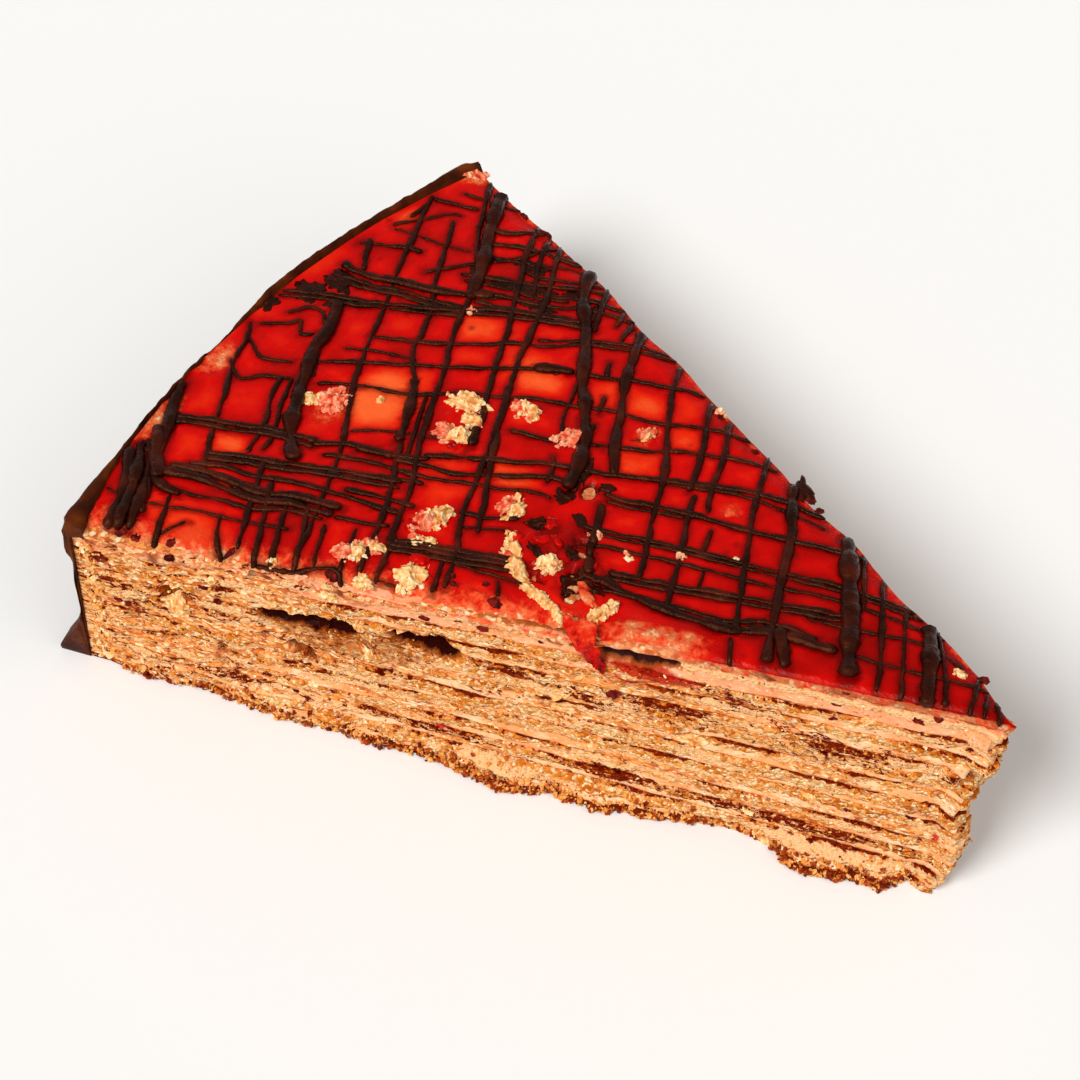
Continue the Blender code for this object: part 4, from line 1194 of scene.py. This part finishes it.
def onSlice(x, y):
    # the surface under a thread: the glaze, and past its near edge the cut below it
    inward = fromNear(x, y)
    if inward >= 0:
        return Vector((x, y, glazeTop(x, y)))
    edge = Vector((x - cutSine * -inward, y + cutCosine * -inward, 0.0))
    z = glazeTop(edge.x, edge.y + 0.01) + inward
    return Vector((edge.x + cutSine * 0.4, edge.y - cutCosine * 0.4, z))


def addThread(curve, width, lift, seed, path):
    spline = curve.splines.new("POLY")
    spline.points.add(len(path) - 1)
    for at, (x, y) in enumerate(path):
        thick = 1 + threadStyle["uneven"] * noiseAt(at * 0.17, seed * 1.7, 0.0)
        thick += 0.35 * threadStyle["uneven"] * noiseAt(at * 0.6, seed, 5.0)
        if at in (0, len(path) - 1):
            thick *= 0.45
        on = onSlice(x, y)
        spline.points[at].co = (on.x, on.y, on.z + width * 0.22 * thick + lift, 1.0)
        spline.points[at].radius = width * 0.5 * max(thick, 0.35)


def hug(verts, x, y, halfX, halfY, turn, thick, rough):
    # lays a round lump on the glaze as a flat ragged puddle
    for vert in verts:
        u = vert.co.copy()
        ragged = 1 + rough * noiseAt(u.x * 1.7, u.y * 1.7, x) + 0.5 * rough * noiseAt(u.x * 4.5, u.y * 4.5, y)
        along, across = u.x * halfX * ragged, u.y * halfY * ragged
        ridge = 0.7 + 0.9 * abs(noiseAt(along * 0.5, across * 1.8, x + 9))
        on = onSlice(*turned(x, y, along, across, math.radians(turn)))
        vert.co = (on.x, on.y, on.z + (u.z * thick * ridge if u.z > 0 else u.z * 0.1))


def pipedThreads():
    # all threads as round tubes
    curve = bpy.data.curves.new("threads", "CURVE")
    curve.dimensions = "3D"
    curve.bevel_depth = 1.0
    curve.bevel_resolution = 2
    curve.use_fill_caps = True
    for thread in threads:
        addThread(curve, *thread)
    guide = bpy.data.objects.new("threads", curve)
    bpy.context.scene.collection.objects.link(guide)
    mesh = bpy.data.meshes.new_from_object(guide.evaluated_get(bpy.context.evaluated_depsgraph_get()))
    bpy.data.objects.remove(guide, do_unlink=True)
    bm = bmesh.new()
    bm.from_mesh(mesh)
    bpy.data.meshes.remove(mesh)
    return bm


def makeThreads():
    bm = pipedThreads()
    for vert in bm.verts:
        if fromNear(vert.co.x, vert.co.y) > 0:
            floor = glazeTop(vert.co.x, vert.co.y)
            flat = floor + (vert.co.z - floor) * threadStyle["flatten"]
            vert.co.z = max(flat, floor - threadStyle["sink"])
    bmesh.ops.remove_doubles(bm, verts=bm.verts[:], dist=0.0005)
    bm.normal_update()
    for vert in bm.verts:
        bumps = noise.noise(vert.co * 1.3) + 0.7 * noise.noise(vert.co * 3.1)
        vert.co += vert.normal * threadStyle["skin"] * bumps
    for x, y, halfX, halfY, turn, thick in chocolateSmears:
        verts = bmesh.ops.create_icosphere(bm, subdivisions=4, radius=1.0)["verts"]
        hug(verts, x, y, halfX * 0.9, halfY * 0.85, turn, thick * 0.75, 0.8)
    bmesh.ops.recalc_face_normals(bm, faces=bm.faces[:])
    return finishPiece("chocolateThreads", bm, "threads")


makeThreads()


# The chocolate coat round the rim
coat = {
    "steps": 130,
    "thick": 1.8,
    "atCorner": 1.3,  # how much thicker at the very corners
    "foot": 2.2,  # how far its foot stands out, and how much further at the near corner
    "nearFoot": 1.6,
    "farSwell": 1.0,  # how much thicker on the far half, and towards the near corner
    "nearSwell": 1.1,
    "footHeight": 8.5,
    "lip": 0.6,  # how high its lip stands over the top
    "rounded": 1.0,  # how much thinner it ends at both corners
    # how far outside the round its lip begins: sideways place, millimetres
    "lipInner": ((-44, 0.4), (-38, 0.5), (-33, 0.9), (-28, 1.2), (-14, 0.9), (-6, 0.8), (1, 0.9),
                 (5, 1.3), (12, 1.7), (20, 1.5), (30, 1.6), (38, 1.8), (44, 1.9)),
    "patch": (-11.0, -1.5),  # where the lip broke off: from and to, sideways
    "rows": 26,  # down the outside
}


def coatProfile(angle):
    # the coat's section from inside at the plate, over the lip and down the outside
    share = angle / cake["halfAngle"]
    y = cake["radius"] * math.sin(angle)
    near = ease(-share * 4 - 3)
    uneven = 0.4 * noiseAt(angle * 14, 7.0, 0.0)
    outer = cake["radius"] + coat["thick"] + coat["atCorner"] * share**6 + uneven
    outer += coat["farSwell"] * ease((y + 2) / 9) + coat["nearSwell"] * ease((-y - 30) / 9)
    rounded = coat["rounded"] * ease((abs(share) - 0.96) / 0.04)
    outer -= rounded
    foot = outer + rounded + coat["foot"] * (0.6 + 0.5 * noiseAt(angle * 9, 1.0, 0.0))
    foot += coat["nearFoot"] * near
    top = height(-cake["radius"] * math.cos(angle)) + 0.05
    broken = bump(y, *coat["patch"])
    inner = cake["radius"] + 0.1 + rimSwell(y)
    edge = readOff(coat["lipInner"], y) + 0.45 * noiseAt(y * 0.4, 3.0, 0.0)
    edge += 0.25 * noiseAt(y * 1.3, 8.0, 0.0)
    lip = min(cake["radius"] + edge + 0.9 * broken, outer - 0.6)
    lump = 0.35 * noiseAt(y * 0.5, 1.0, 6.0) + 0.2 * noiseAt(y * 1.7, 1.0, 2.0) + coat["lip"]
    tall = top - 1.2 * broken
    points = [(inner, 0.0), (inner, top - 1.6), (min(lip, inner), top - 1.6), (min(lip, inner), tall - 0.9),
              (lip, tall - 0.7), (lip + 0.15, tall + lump * 0.6), (mix(lip, outer, 0.5), tall + lump),
              (outer - 0.45, tall + lump * 0.6), (outer - 0.15, tall - 0.3)]
    for row in range(coat["rows"]):
        z = (tall - 0.9) * (1 - row / (coat["rows"] - 1))
        low = ease((coat["footHeight"] - z) / coat["footHeight"])
        radius = mix(outer, foot, low) - 0.3 * ease((1.2 - z) / 1.2)
        thin = near * 1.1 * bump(z, 7, 27)
        stroke = 0.42 * noiseAt(y * 0.16, z * 0.10, 4.0) + 0.3 * noiseAt(y * 0.6, z * 0.35, 8.0)
        points.append((max(radius + stroke - thin, inner + 0.35), z))
    return points


def makeCoat():
    bm = bmesh.new()
    count = len(coatProfile(0.0))
    bmesh.ops.create_grid(bm, x_segments=coat["steps"], y_segments=count, size=1.0)
    angles = [cake["halfAngle"] * (2 * step / coat["steps"] - 1) for step in range(coat["steps"] + 1)]
    profiles = [coatProfile(angle) for angle in angles]
    for vert in bm.verts:
        step = round((vert.co.x + 1) / 2 * coat["steps"])
        point = round((vert.co.y + 1) / 2 * count) % count
        angle = angles[step]
        radius, z = profiles[step][point]
        if step in (0, coat["steps"]):
            past = 0.9 * bump(z, -1, 10) + 0.7 * noiseAt(z * 0.3, radius * 0.6, step) - 0.3
            angle += math.copysign(past / cake["radius"], angle)
        vert.co = (-radius * math.cos(angle), radius * math.sin(angle), z)
    bmesh.ops.remove_doubles(bm, verts=bm.verts[:], dist=0.0001)
    bmesh.ops.holes_fill(bm, edges=[edge for edge in bm.edges if edge.is_boundary], sides=0)
    bmesh.ops.recalc_face_normals(bm, faces=bm.faces[:])
    return finishPiece("chocolateCoat", bm, "coat", ["chocolate_side"])


makeCoat()


def addCrumb(bm, shadeLayer, centre, size, squash, fineness, seed, shade):
    # one crumb: a lump with a broken surface, turned any way
    turn = Matrix.Rotation(seed * 2.4, 4, Vector((math.sin(seed), math.cos(seed * 1.7), 0.6)).normalized())
    sizes = (size / 2, size / 2 * squash, size / 2 * (0.4 + squash * 0.3), 1)
    shape = Matrix.Translation(centre) @ turn @ Matrix.Diagonal(sizes)
    verts = bmesh.ops.create_icosphere(bm, subdivisions=fineness, radius=1.0, matrix=shape)["verts"]
    for vert in verts:
        away = vert.co - centre
        rough = 0.9 * noise.noise(away * (2.2 / size) + Vector((seed * 3.7, 0, 0)))
        if fineness > 1:
            rough += 0.5 * noise.noise(away * (5.5 / size) + Vector((seed, 4, 0)))
        vert.co = centre + away * (1 + rough)
        # painted light and shade: paler where the crumb bulges out and darker in its dips, over its chance
        # tone
        vert[shadeLayer] = min(max(shade + 0.8 * rough, 0.0), 1.0)


def overTop(x, y):
    return onSlice(x, y), Vector((0, 0, 1))


def overCut(along, z):
    return onCut(along, z, -1)[0], Vector((cutSine, -cutCosine, 0))


def addChunk(bm, shadeLayer, where, centre, halfX, halfY, turn, tall, shade, fineness=4, ragged=1.0):
    # a torn piece of cake that follows the surface it lies on, with a ragged edge and a top of small grains
    seed = Vector((centre[0] * 1.3, centre[1] * 1.7, turn))
    for vert in bmesh.ops.create_icosphere(bm, subdivisions=fineness, radius=1.0)["verts"]:
        u = vert.co.copy()
        lumps = 0.6 * noise.noise(u * 1.4 + seed) + 0.5 * noise.noise(u * 3.6 + seed)
        wide = 1 + ragged * (lumps + 0.25 * noise.noise(u * 9 + seed))
        a, b = turned(*centre, u.x * halfX * wide, u.y * halfY * wide, math.radians(turn))
        on, outward = where(a, b)
        grain = noise.voronoi(Vector((a, b, u.z * tall)) / 0.62)[0][0]
        rise = max(u.z, -0.15) * tall * (0.85 + 0.9 * noiseAt(a * 0.9, b * 0.9, turn))
        rise += 0.45 * ragged * (0.45 - grain)
        vert.co = on + outward * rise
        # painted light and shade: paler on the raised tops of the grains and darker in the gaps between them,
        # over the given tone
        vert[shadeLayer] = min(max(shade + 1.3 * (0.42 - grain) + 0.5 * noiseAt(a, b, 3.0), 0.0), 1.0)


crumbBatch = 120


def makeCrumbs(name, crumbs, material, chunks=()):
    # bmesh operators slow down in a big mesh, so crumbs are made in batches and joined
    batches = [(addCrumb, crumbs[at:at + crumbBatch]) for at in range(0, len(crumbs), crumbBatch)]
    batches += [(addChunk, [chunk]) for chunk in chunks]
    bm = bmesh.new()
    bm.verts.layers.float.new("shade")
    for add, batch in batches:
        part = bmesh.new()
        shadeLayer = part.verts.layers.float.new("shade")
        for crumb in batch:
            add(part, shadeLayer, *crumb)
        pour(part, bm)
    return finishPiece(name, bm, material, smooth=False)


def layerAt(x, z):
    share = min(max(z / height(x), 0.0), glazeStart - 0.0001)
    return next(layer for layer in layers if layer["low"] <= share < layer["high"])


def onCut(along, z, side, sink=0.0):
    # a place on the rough cut side, with its layer and where in the layer it is, -1 to 1
    x = -along
    layer = layerAt(x, z)
    low, high = level(layer["low"], x), level(layer["high"], x)
    across = min(max(2 * (z - low) / (high - low) - 1, -1.0), 1.0)
    out = cutOffset(x, z, layer, side, across) - sink
    shift = tipShift(x, layer)
    y = side * halfWidth(x)
    y -= side * shift * cutSlope
    return Vector((x + cutSine * out + shift, y + side * cutCosine * out, z)), layer, across


def looseCrumb(place, size, fineness, squashes, shades):
    # a crumb with a chance squash, turn and shade
    return place, size, random.uniform(*squashes), fineness, random.uniform(0, 50), random.uniform(*shades)


# Crumbs on the cuts: how many on each, their sizes, the share of them that stays on cream, and how many are
# pressed over the edge of the coat
cutCrumbs = {
    "golden": {"near": 2100, "far": 1000, "sizes": (0.26, 0.7), "cream": 0.15, "atCoat": 90},
    "dark": {"near": 1700, "far": 1000, "sizes": (0.22, 0.55), "cream": 0.6, "atCoat": 30},
    "pale": {"near": 900, "far": 350, "sizes": (0.25, 0.8), "cream": 0.35, "atCoat": 60},
}
cutSquash, cutShade = (0.55, 1.0), (0.15, 0.85)
# The crumbs on the coat's inner edge: distance from the tip, its scatter, lowest, highest, how much bigger
coatEdge = {"along": 115.4, "scatter": 0.6, "low": 0.8, "high": 28.5, "bigger": 1.5}


def scatterOnCut(kind, side, count):
    setup = cutCrumbs[kind]
    crumbs = []
    while len(crumbs) < count:
        along = random.uniform(0.4, 114.5)
        z = random.uniform(0.3, height(-along) * glazeStart - 0.4)
        place, layer, across = onCut(along, z, side, 0.1)
        keep = 1.0 if layer["kind"] == "biscuit" else setup["cream"]
        if kind == "dark":
            keep *= min(toastAt(-along, z, layer, side, across), 1.0) ** 1.5
        inBreak = side < 0 and breakAt(-along, z)[0] > 1.0
        if random.random() > keep or inBreak:
            continue
        size = mix(*setup["sizes"], random.random() ** 2.4)
        crumbs.append(looseCrumb(place, size, 1 if size < 0.7 else 2, cutSquash, cutShade))
    return crumbs


def pressOverCoat(setup):
    # crumbs over the inner edge of the coat, on both cuts
    crumbs = []
    for _ in range(setup["atCoat"]):
        side = random.choice((-1, -1, 1))
        along = random.gauss(coatEdge["along"], coatEdge["scatter"])
        z = random.uniform(coatEdge["low"], coatEdge["high"])
        place = Vector((-along, side * (along * cutSlope + 0.1), z))
        size = coatEdge["bigger"] * mix(*setup["sizes"], random.random())
        crumbs.append(looseCrumb(place, size, 2, cutSquash, cutShade))
    return crumbs


for kind, setup in cutCrumbs.items():
    random.seed(sum(map(ord, kind)))
    crumbs = scatterOnCut(kind, -1, setup["near"]) + scatterOnCut(kind, 1, setup["far"])
    makeCrumbs(f"{kind}CutCrumbs", crumbs + pressOverCoat(setup), f"{kind}Crumb")

# Bigger bits on the near cut: distance from the tip, height, size, squash, stand-out
paleBits = (
    (36.3, 19.2, 2.9, 0.9, 0.6), (104.2, 18.9, 3.2, 0.7, 0.4), (104.5, 22.9, 2.2, 0.5, 0.4),
    (83.5, 30.2, 2.6, 0.75, 0.5), (83.6, 32.2, 1.3, 0.8, 0.4), (17.2, 33.2, 2.6, 0.4, 0.3),
    (27.8, 6.1, 1.3, 0.8, 0.4), (48.5, 11.8, 1.7, 0.8, 0.3), (67.2, 11.2, 1.1, 0.8, 0.3),
    (25.6, 0.9, 2.4, 0.9, 0.2), (7.5, 3.1, 1.8, 0.8, 0.4), (88.5, 24.6, 1.8, 0.6, 0.7),
    (86.4, 24.2, 1.6, 0.6, 0.7), (91.0, 24.5, 1.4, 0.6, 0.6), (79.6, 24.9, 1.6, 0.7, 0.6),
    (74.3, 25.9, 1.4, 0.7, 0.7), (52.0, 26.4, 2.0, 0.35, 0.3), (78.5, 18.6, 2.0, 0.35, 0.4),
    (110.4, 27.8, 1.5, 0.7, 0.3), (95.0, 24.8, 2.0, 0.4, 0.3), (35.8, 24.3, 1.2, 0.5, 0.3),
    (12.0, 19.8, 1.8, 0.5, 0.3), (21.0, 13.4, 1.4, 0.7, 0.3), (57.0, 21.3, 2.4, 0.35, 0.4),
    (53.5, 21.4, 2.2, 0.35, 0.4), (62.0, 9.6, 1.2, 0.7, 0.3), (86.0, 8.2, 1.5, 0.6, 0.3),
    (99.0, 26.6, 1.4, 0.7, 0.3),
)
darkBits = (
    (71.3, 30.4, 1.3, 0.8, 0.1), (63.9, 31.6, 1.5, 0.9, 0.1), (46.9, 25.0, 1.8, 0.7, 0.1),
    (19.6, 38.1, 1.0, 0.8, 0.1), (20.5, 35.4, 1.3, 0.8, 0.1), (20.4, 32.6, 1.1, 0.7, 0.1),
    (10.8, 36.8, 1.5, 0.7, 0.1), (8.6, 38.4, 1.1, 0.8, 0.1), (3.1, 33.5, 1.1, 0.6, 0.2),
    (8.4, 14.7, 1.6, 0.5, 0.0), (98.6, 22.0, 1.0, 0.7, 0.1), (98.4, 23.0, 0.9, 0.7, 0.1),
    (29.6, 26.0, 0.8, 0.8, 0.1), (114.6, 25.2, 2.0, 0.6, 0.2), (112.4, 16.0, 1.2, 0.8, 0.2),
    (66.8, 32.0, 1.0, 0.7, 0.1), (16.0, 13.0, 1.0, 0.7, 0.1), (56.6, 31.9, 0.8, 0.7, 0.1),
)


def makeBits(name, bits, material, tall, ragged, drops=()):
    chunks = []
    for x, y, length, width, turn in drops:
        chunks.append((overTop, (x, y), length * 0.42, width * 0.42, turn, 0.3, 0.4, 3, 0.7))
    for at, (along, z, size, squash, out) in enumerate(bits):
        turn = 35 * math.sin(at * 2.3)
        rise = tall * size + out * 0.4
        fineness = 4 if size > 1.5 else 3
        halfX, halfY = size * 0.55, size * 0.5 * squash
        chunks.append((overCut, (along, z), halfX, halfY, turn, rise, 0.62, fineness, ragged))
    return makeCrumbs(name, [], material, chunks)


makeBits("paleCakeBits", paleBits, "paleCrumb", 0.22, 1.0)
makeBits("raspberryBits", darkBits, "wineBit", 0.16, 0.5, wineDrops)

# Crusty crumbs along the foot of the cuts: from and to, how many
crustRuns = ((5, 23, 420), (34, 55, 380), (55, 69, 380), (68, 96, 330), (96, 113, 120), (23, 34, 70))


def makeCrust():
    random.seed(41)
    dark, golden = [], []
    for side in (-1, 1):
        for first, last, count in crustRuns:
            for _ in range(count if side < 0 else count // 2):
                along = random.uniform(first, last)
                z = abs(random.gauss(0.0, 0.9)) + 0.25
                place = onCut(along, min(z, 3.2), side)[0]
                out = 0.5 * random.random() ** 2
                place = place + Vector((cutSine, side * cutCosine, 0.0)) * out
                size = mix(0.35, 1.0, random.random() ** 2.2)
                place.z = max(place.z, size * 0.32)
                bucket = dark if random.random() < 0.55 else golden
                bucket.append(looseCrumb(place, size, 1 if size < 0.8 else 2, (0.6, 1.0), (0.1, 0.85)))
    makeCrumbs("darkCrustCrumbs", dark, "darkCrumb")
    makeCrumbs("goldenCrustCrumbs", golden, "goldenCrumb")


makeCrust()

# Heaps of crumbs on the glaze: x, y, half sizes, turn, how many, share of pink ones
crumbHeaps = (
    (-88.5, 4.6, 2.7, 1.6, 20, 26, 0.1), (-86.0, 2.3, 1.6, 1.3, 0, 12, 0.2),
    (-86.6, -1.2, 2.3, 1.8, 15, 24, 0.45), (-81.0, 8.0, 1.8, 1.6, 0, 16, 0.5),
    (-73.0, 7.0, 1.5, 1.9, -20, 14, 0.9), (-107.0, -7.6, 1.2, 1.1, 0, 8, 0.1),
    (-104.0, -6.0, 2.0, 2.0, 0, 10, 0.8), (-79.2, -15.2, 2.6, 1.9, 60, 26, 0.3),
    (-78.0, -19.0, 1.6, 0.9, 10, 10, 0.4), (-75.4, -24.6, 1.8, 2.1, -20, 20, 0.15),
    (-84.4, -26.0, 1.9, 1.7, 40, 22, 0.35), (-71.8, -7.4, 1.6, 1.7, 0, 14, 0.4),
    (-61.8, -12.6, 1.5, 1.3, 20, 14, 0.1), (-82.6, -23.4, 1.4, 1.2, 0, 8, 0.5),
    (-65.0, 13.6, 0.8, 1.3, -30, 7, 0.4), (-66.5, -14.6, 1.3, 1.0, 0, 8, 0.3),
    (-9.6, 3.2, 0.8, 0.6, 0, 5, 0.1), (-98.9, 19.0, 0.6, 0.5, 0, 3, 0.9),
    (-98.8, -2.5, 0.5, 0.4, 0, 2, 0.0), (-48.5, -1.4, 0.4, 0.4, 0, 2, 0.2),
    (-54.4, -5.3, 0.5, 0.4, 0, 2, 0.3), (-42.5, 2.0, 0.3, 0.3, 0, 1, 0.0),
    (-59.2, 23.4, 0.8, 0.5, 0, 4, 0.7), (-117.0, 43.0, 1.6, 1.0, 30, 8, 0.9),
    (-80.2, -28.6, 1.2, 0.9, 0, 7, 0.2), (-60.0, -5.2, 0.7, 0.7, 0, 3, 0.8),
    (-92.0, -33.0, 0.6, 0.5, 0, 4, 0.2),
)


def listChunks(x, y, halfX, halfY, turn, pinkShare):
    # the torn pieces in the middle of a heap, by kind
    kinds = ["pale"] if pinkShare < 0.25 else ["pink"] if pinkShare > 0.75 else ["pink", "pale"]
    size = 0.95 if len(kinds) == 1 else 0.75
    tall = 0.45 * min(halfX, halfY) + 0.4
    found = {}
    for at, kind in enumerate(kinds):
        aside = 0.45 * halfX * (at - (len(kinds) - 1) / 2) * 2
        centre = turned(x, y, aside, 0, math.radians(turn))
        found[kind] = (overTop, centre, halfX * size, halfY * size, turn + 20 * at, tall, 0.6)
    return found


def heapCrumb(x, y, halfX, halfY, turn, pinkShare):
    reach = math.sqrt(random.random()) * 1.25
    way = random.uniform(0, 2 * math.pi)
    along, across = halfX * reach * math.cos(way), halfY * reach * math.sin(way)
    size = mix(0.3, 1.3, random.random() ** 2)
    on = onSlice(*turned(x, y, along, across, math.radians(turn)))
    on.z += size * 0.15 + 0.5 * max(1 - reach, 0) * random.random() * min(halfX, halfY)
    kind = "pink" if random.random() < pinkShare else "pale"
    return kind, looseCrumb(on, size, 2, (0.45, 0.95), (0.3, 1.0))


def makeHeaps():
    random.seed(7)
    crumbs, chunks = {"pale": [], "pink": []}, {"pale": [], "pink": []}
    for *oval, count, pinkShare in crumbHeaps:
        if count > 4:
            for kind, chunk in listChunks(*oval, pinkShare).items():
                chunks[kind].append(chunk)
        for _ in range(count + 4):
            kind, crumb = heapCrumb(*oval, pinkShare)
            crumbs[kind].append(crumb)
    for kind in ("pale", "pink"):
        makeCrumbs(f"{kind}TopCrumbs", crumbs[kind], f"{kind}Crumb", chunks[kind])


makeHeaps()

# A torn strip of biscuit on the near part of the glaze: half width, height and points (x, y)
biscuitStrips = (
    (0.85, 0.8, (-68.9, -11.4), (-68.2, -12.6), (-67.2, -13.6)),
    (1.05, 1.0, (-67.4, -13.2), (-65.6, -15.0), (-63.6, -16.0)),
    (0.8, 0.8, (-63.6, -16.0), (-61.6, -17.4), (-58.5, -17.7), (-55.4, -18.4), (-53.2, -18.3)),
    (1.0, 1.2, (-51.9, -16.0), (-51.4, -14.6), (-51.0, -13.6)),
)


def makeStrips():
    random.seed(19)
    chunks = []
    for half, tall, *points in biscuitStrips:
        for point in smoothPath(points, 0.85):
            centre = (point.x + random.uniform(-0.15, 0.15), point.y + random.uniform(-0.15, 0.15))
            halfX, halfY = half * random.uniform(0.8, 1.3), half * random.uniform(0.6, 0.95)
            turn = random.uniform(-70, 40)
            chunks.append((overTop, centre, halfX, halfY, turn, tall * random.uniform(0.7, 1.2), 0.55, 3))
    makeCrumbs("biscuitStrip", [], "paleCrumb", chunks)


makeStrips()

# Lumps of torn raspberry glaze: x, y, lift, length, width, turn
gelLumps = (
    (-66.0, -6.2, 0.1, 2.4, 1.6, 30), (-63.4, -8.4, 0.2, 2.2, 1.6, -20), (-65.2, -9.8, 0.15, 2.0, 1.4, 60),
    (-61.0, -10.6, 0.2, 2.2, 1.4, 10), (-68.2, -11.2, 0.1, 2.2, 1.4, 0), (-57.0, -9.6, 0.15, 2.4, 1.2, 80),
    (-85.0, -3.0, 0.0, 2.2, 1.8, 40), (-47.6, 8.6, 0.0, 1.8, 1.4, 30), (-80.6, -17.4, 0.1, 2.6, 2.0, 10),
    (-76.2, -21.4, 0.1, 2.4, 1.8, 60), (-54.6, -14.2, 0.3, 3.4, 1.4, -15), (-55.6, -12.9, 0.3, 3.0, 1.0, -15),
)
# The tongue of glaze that hangs over the near cut
tongue = {
    "along": 52.2,  # distance from the tip where it begins
    "slant": 3.8,  # how much nearer to the tip it ends
    "above": 1.3,  # how far over the top of the cut it begins
    "length": 7.2,
    "width": 3.9,
    "thick": 0.7,
}


def addGelLump(bm, warm, film, x, y, lift, length, width, turn):
    on = onSlice(x, y) + Vector((0, 0, lift * 0.5))
    sizes = Matrix.Diagonal((length / 2, width / 2, 0.35 + lift * 0.5, 1.0))
    shape = Matrix.Translation(on) @ Matrix.Rotation(math.radians(turn), 4, "Z") @ sizes
    for vert in bmesh.ops.create_icosphere(bm, subdivisions=4, radius=1.0, matrix=shape)["verts"]:
        vert.co += (vert.co - on) * (0.7 * noise.noise(vert.co * 0.9) + 0.25 * noise.noise(vert.co * 2.4))
        vert[warm] = 0.24 + 0.3 * noise.noise(vert.co * 1.1)
        vert[film] = 0.55 if x > -56 else 0.0


def addTongue(bm, warm, film):
    verts = bmesh.ops.create_grid(bm, x_segments=16, y_segments=40, size=1.0)["verts"]
    for vert in verts:
        u, down = vert.co.x, (1 - vert.co.y) / 2
        along = tongue["along"] - tongue["slant"] * down
        width = tongue["width"] * (1 - 0.55 * ease(down / 0.8)) * math.sqrt(max(1 - down**4, 0.02))
        x = -(along + u * width / 2 * (1 + 0.5 * noiseAt(down * 6, u, 0)))
        z = height(-along) + tongue["above"] - tongue["length"] * down
        crown = 0.6 * (1 - u**2) * (1 - down**4) + 0.2
        out = 0.35 - 2.4 * ease((0.22 - down) / 0.22) + crown + 0.5 * noiseAt(down * 7, u * 1.5, 3)
        out += 0.35 * noiseAt(down * 17, u * 3.5, 9)
        vert.co = (x + cutSine * out, -halfWidth(x) - cutCosine * out, z)
        vert[warm] = 0.42 - 0.3 * down + 0.5 * noiseAt(down * 6, u * 1.5, 5)
        vert[film] = max(0.35 * (1 - 2 * down), 0.0)
    faces = {face for vert in verts for face in vert.link_faces}
    bmesh.ops.solidify(bm, geom=list(faces), thickness=tongue["thick"])


def makeGelLumps():
    bm = bmesh.new()
    marks = [bm.verts.layers.float.new(name) for name in ("warm", "film")]
    for lump in gelLumps:
        addGelLump(bm, *marks, *lump)
    addTongue(bm, *marks)
    bmesh.ops.recalc_face_normals(bm, faces=bm.faces[:])
    return finishPiece("tornGlaze", bm, "gel")


makeGelLumps()
print("pieces made")


def makeStage():
    bm = bmesh.new()
    bmesh.ops.create_grid(bm, x_segments=1, y_segments=1, size=2.5)
    mesh = bpy.data.meshes.new("floor")
    bm.to_mesh(mesh)
    bm.free()
    made, tree, _ = newMaterial("white paper floor")
    shader = addNode(tree, "BsdfPrincipled", {
        "Base Color": "#F1F0EE", "Roughness": 0.9, "Specular IOR Level": 0.1})
    addNode(tree, "OutputMaterial", {0: shader.outputs[0]})
    mesh.materials.append(made)
    floor = bpy.data.objects.new("floor", mesh)
    bpy.context.scene.collection.objects.link(floor)


def polar(azimuth, elevation, distance):
    # a place round the slice, from the near side (-Y) towards the tip (+X)
    a, e = math.radians(azimuth), math.radians(elevation)
    return Vector((math.sin(a) * math.cos(e), -math.cos(a) * math.cos(e), math.sin(e))) * distance


lights = {
    "key": {"azimuth": -12, "elevation": 48, "softness": 24, "strength": 2.6},
    "fill": {"azimuth": 80, "elevation": 45, "softness": 60, "strength": 0.6},
    "world": 0.35,
}
camera = {
    "azimuth": 33.5,
    "elevation": 52.5,
    "roll": 4.3,
    "distance": 342.0,
    "target": (-71.7, -0.3, 20.0),
    "lens": 81.97,
}


def makeLights():
    for name in ("key", "fill"):
        setup = lights[name]
        lamp = bpy.data.lights.new(name, "SUN")
        lamp.angle = math.radians(setup["softness"])
        lamp.energy = setup["strength"]
        light = bpy.data.objects.new(name, lamp)
        light.location = polar(setup["azimuth"], setup["elevation"], 1.0)
        light.rotation_euler = light.location.to_track_quat("Z", "Y").to_euler()
        bpy.context.scene.collection.objects.link(light)
    world = bpy.data.worlds.new("studio")
    world.use_nodes = True
    background = world.node_tree.nodes["Background"]
    background.inputs["Color"].default_value = linear("#FFFDFA")
    background.inputs["Strength"].default_value = lights["world"]
    bpy.context.scene.world = world


def makeCamera():
    data = bpy.data.cameras.new("camera")
    data.lens = camera["lens"]
    data.sensor_width = 36.0
    data.clip_start = 0.01
    view = bpy.data.objects.new("camera", data)
    back = polar(camera["azimuth"], camera["elevation"], 1.0)
    a = math.radians(camera["azimuth"])
    right = Vector((math.cos(a), math.sin(a), 0.0))
    up = back.cross(right)
    roll = math.radians(camera["roll"])
    right, up = math.cos(roll) * right + math.sin(roll) * up, math.cos(roll) * up - math.sin(roll) * right
    turn = Matrix((right, up, back)).transposed().to_4x4()
    x, y, z = camera["target"]
    target = Vector((x + cake["tipAt"][0], y + cake["tipAt"][1], z)) * mm
    view.matrix_world = Matrix.Translation(target + back * camera["distance"] * mm) @ turn
    bpy.context.scene.collection.objects.link(view)
    bpy.context.scene.camera = view


makeStage()
makeLights()
makeCamera()
bpy.context.scene.view_settings.view_transform = "Standard"
print("stage, lights and camera made")
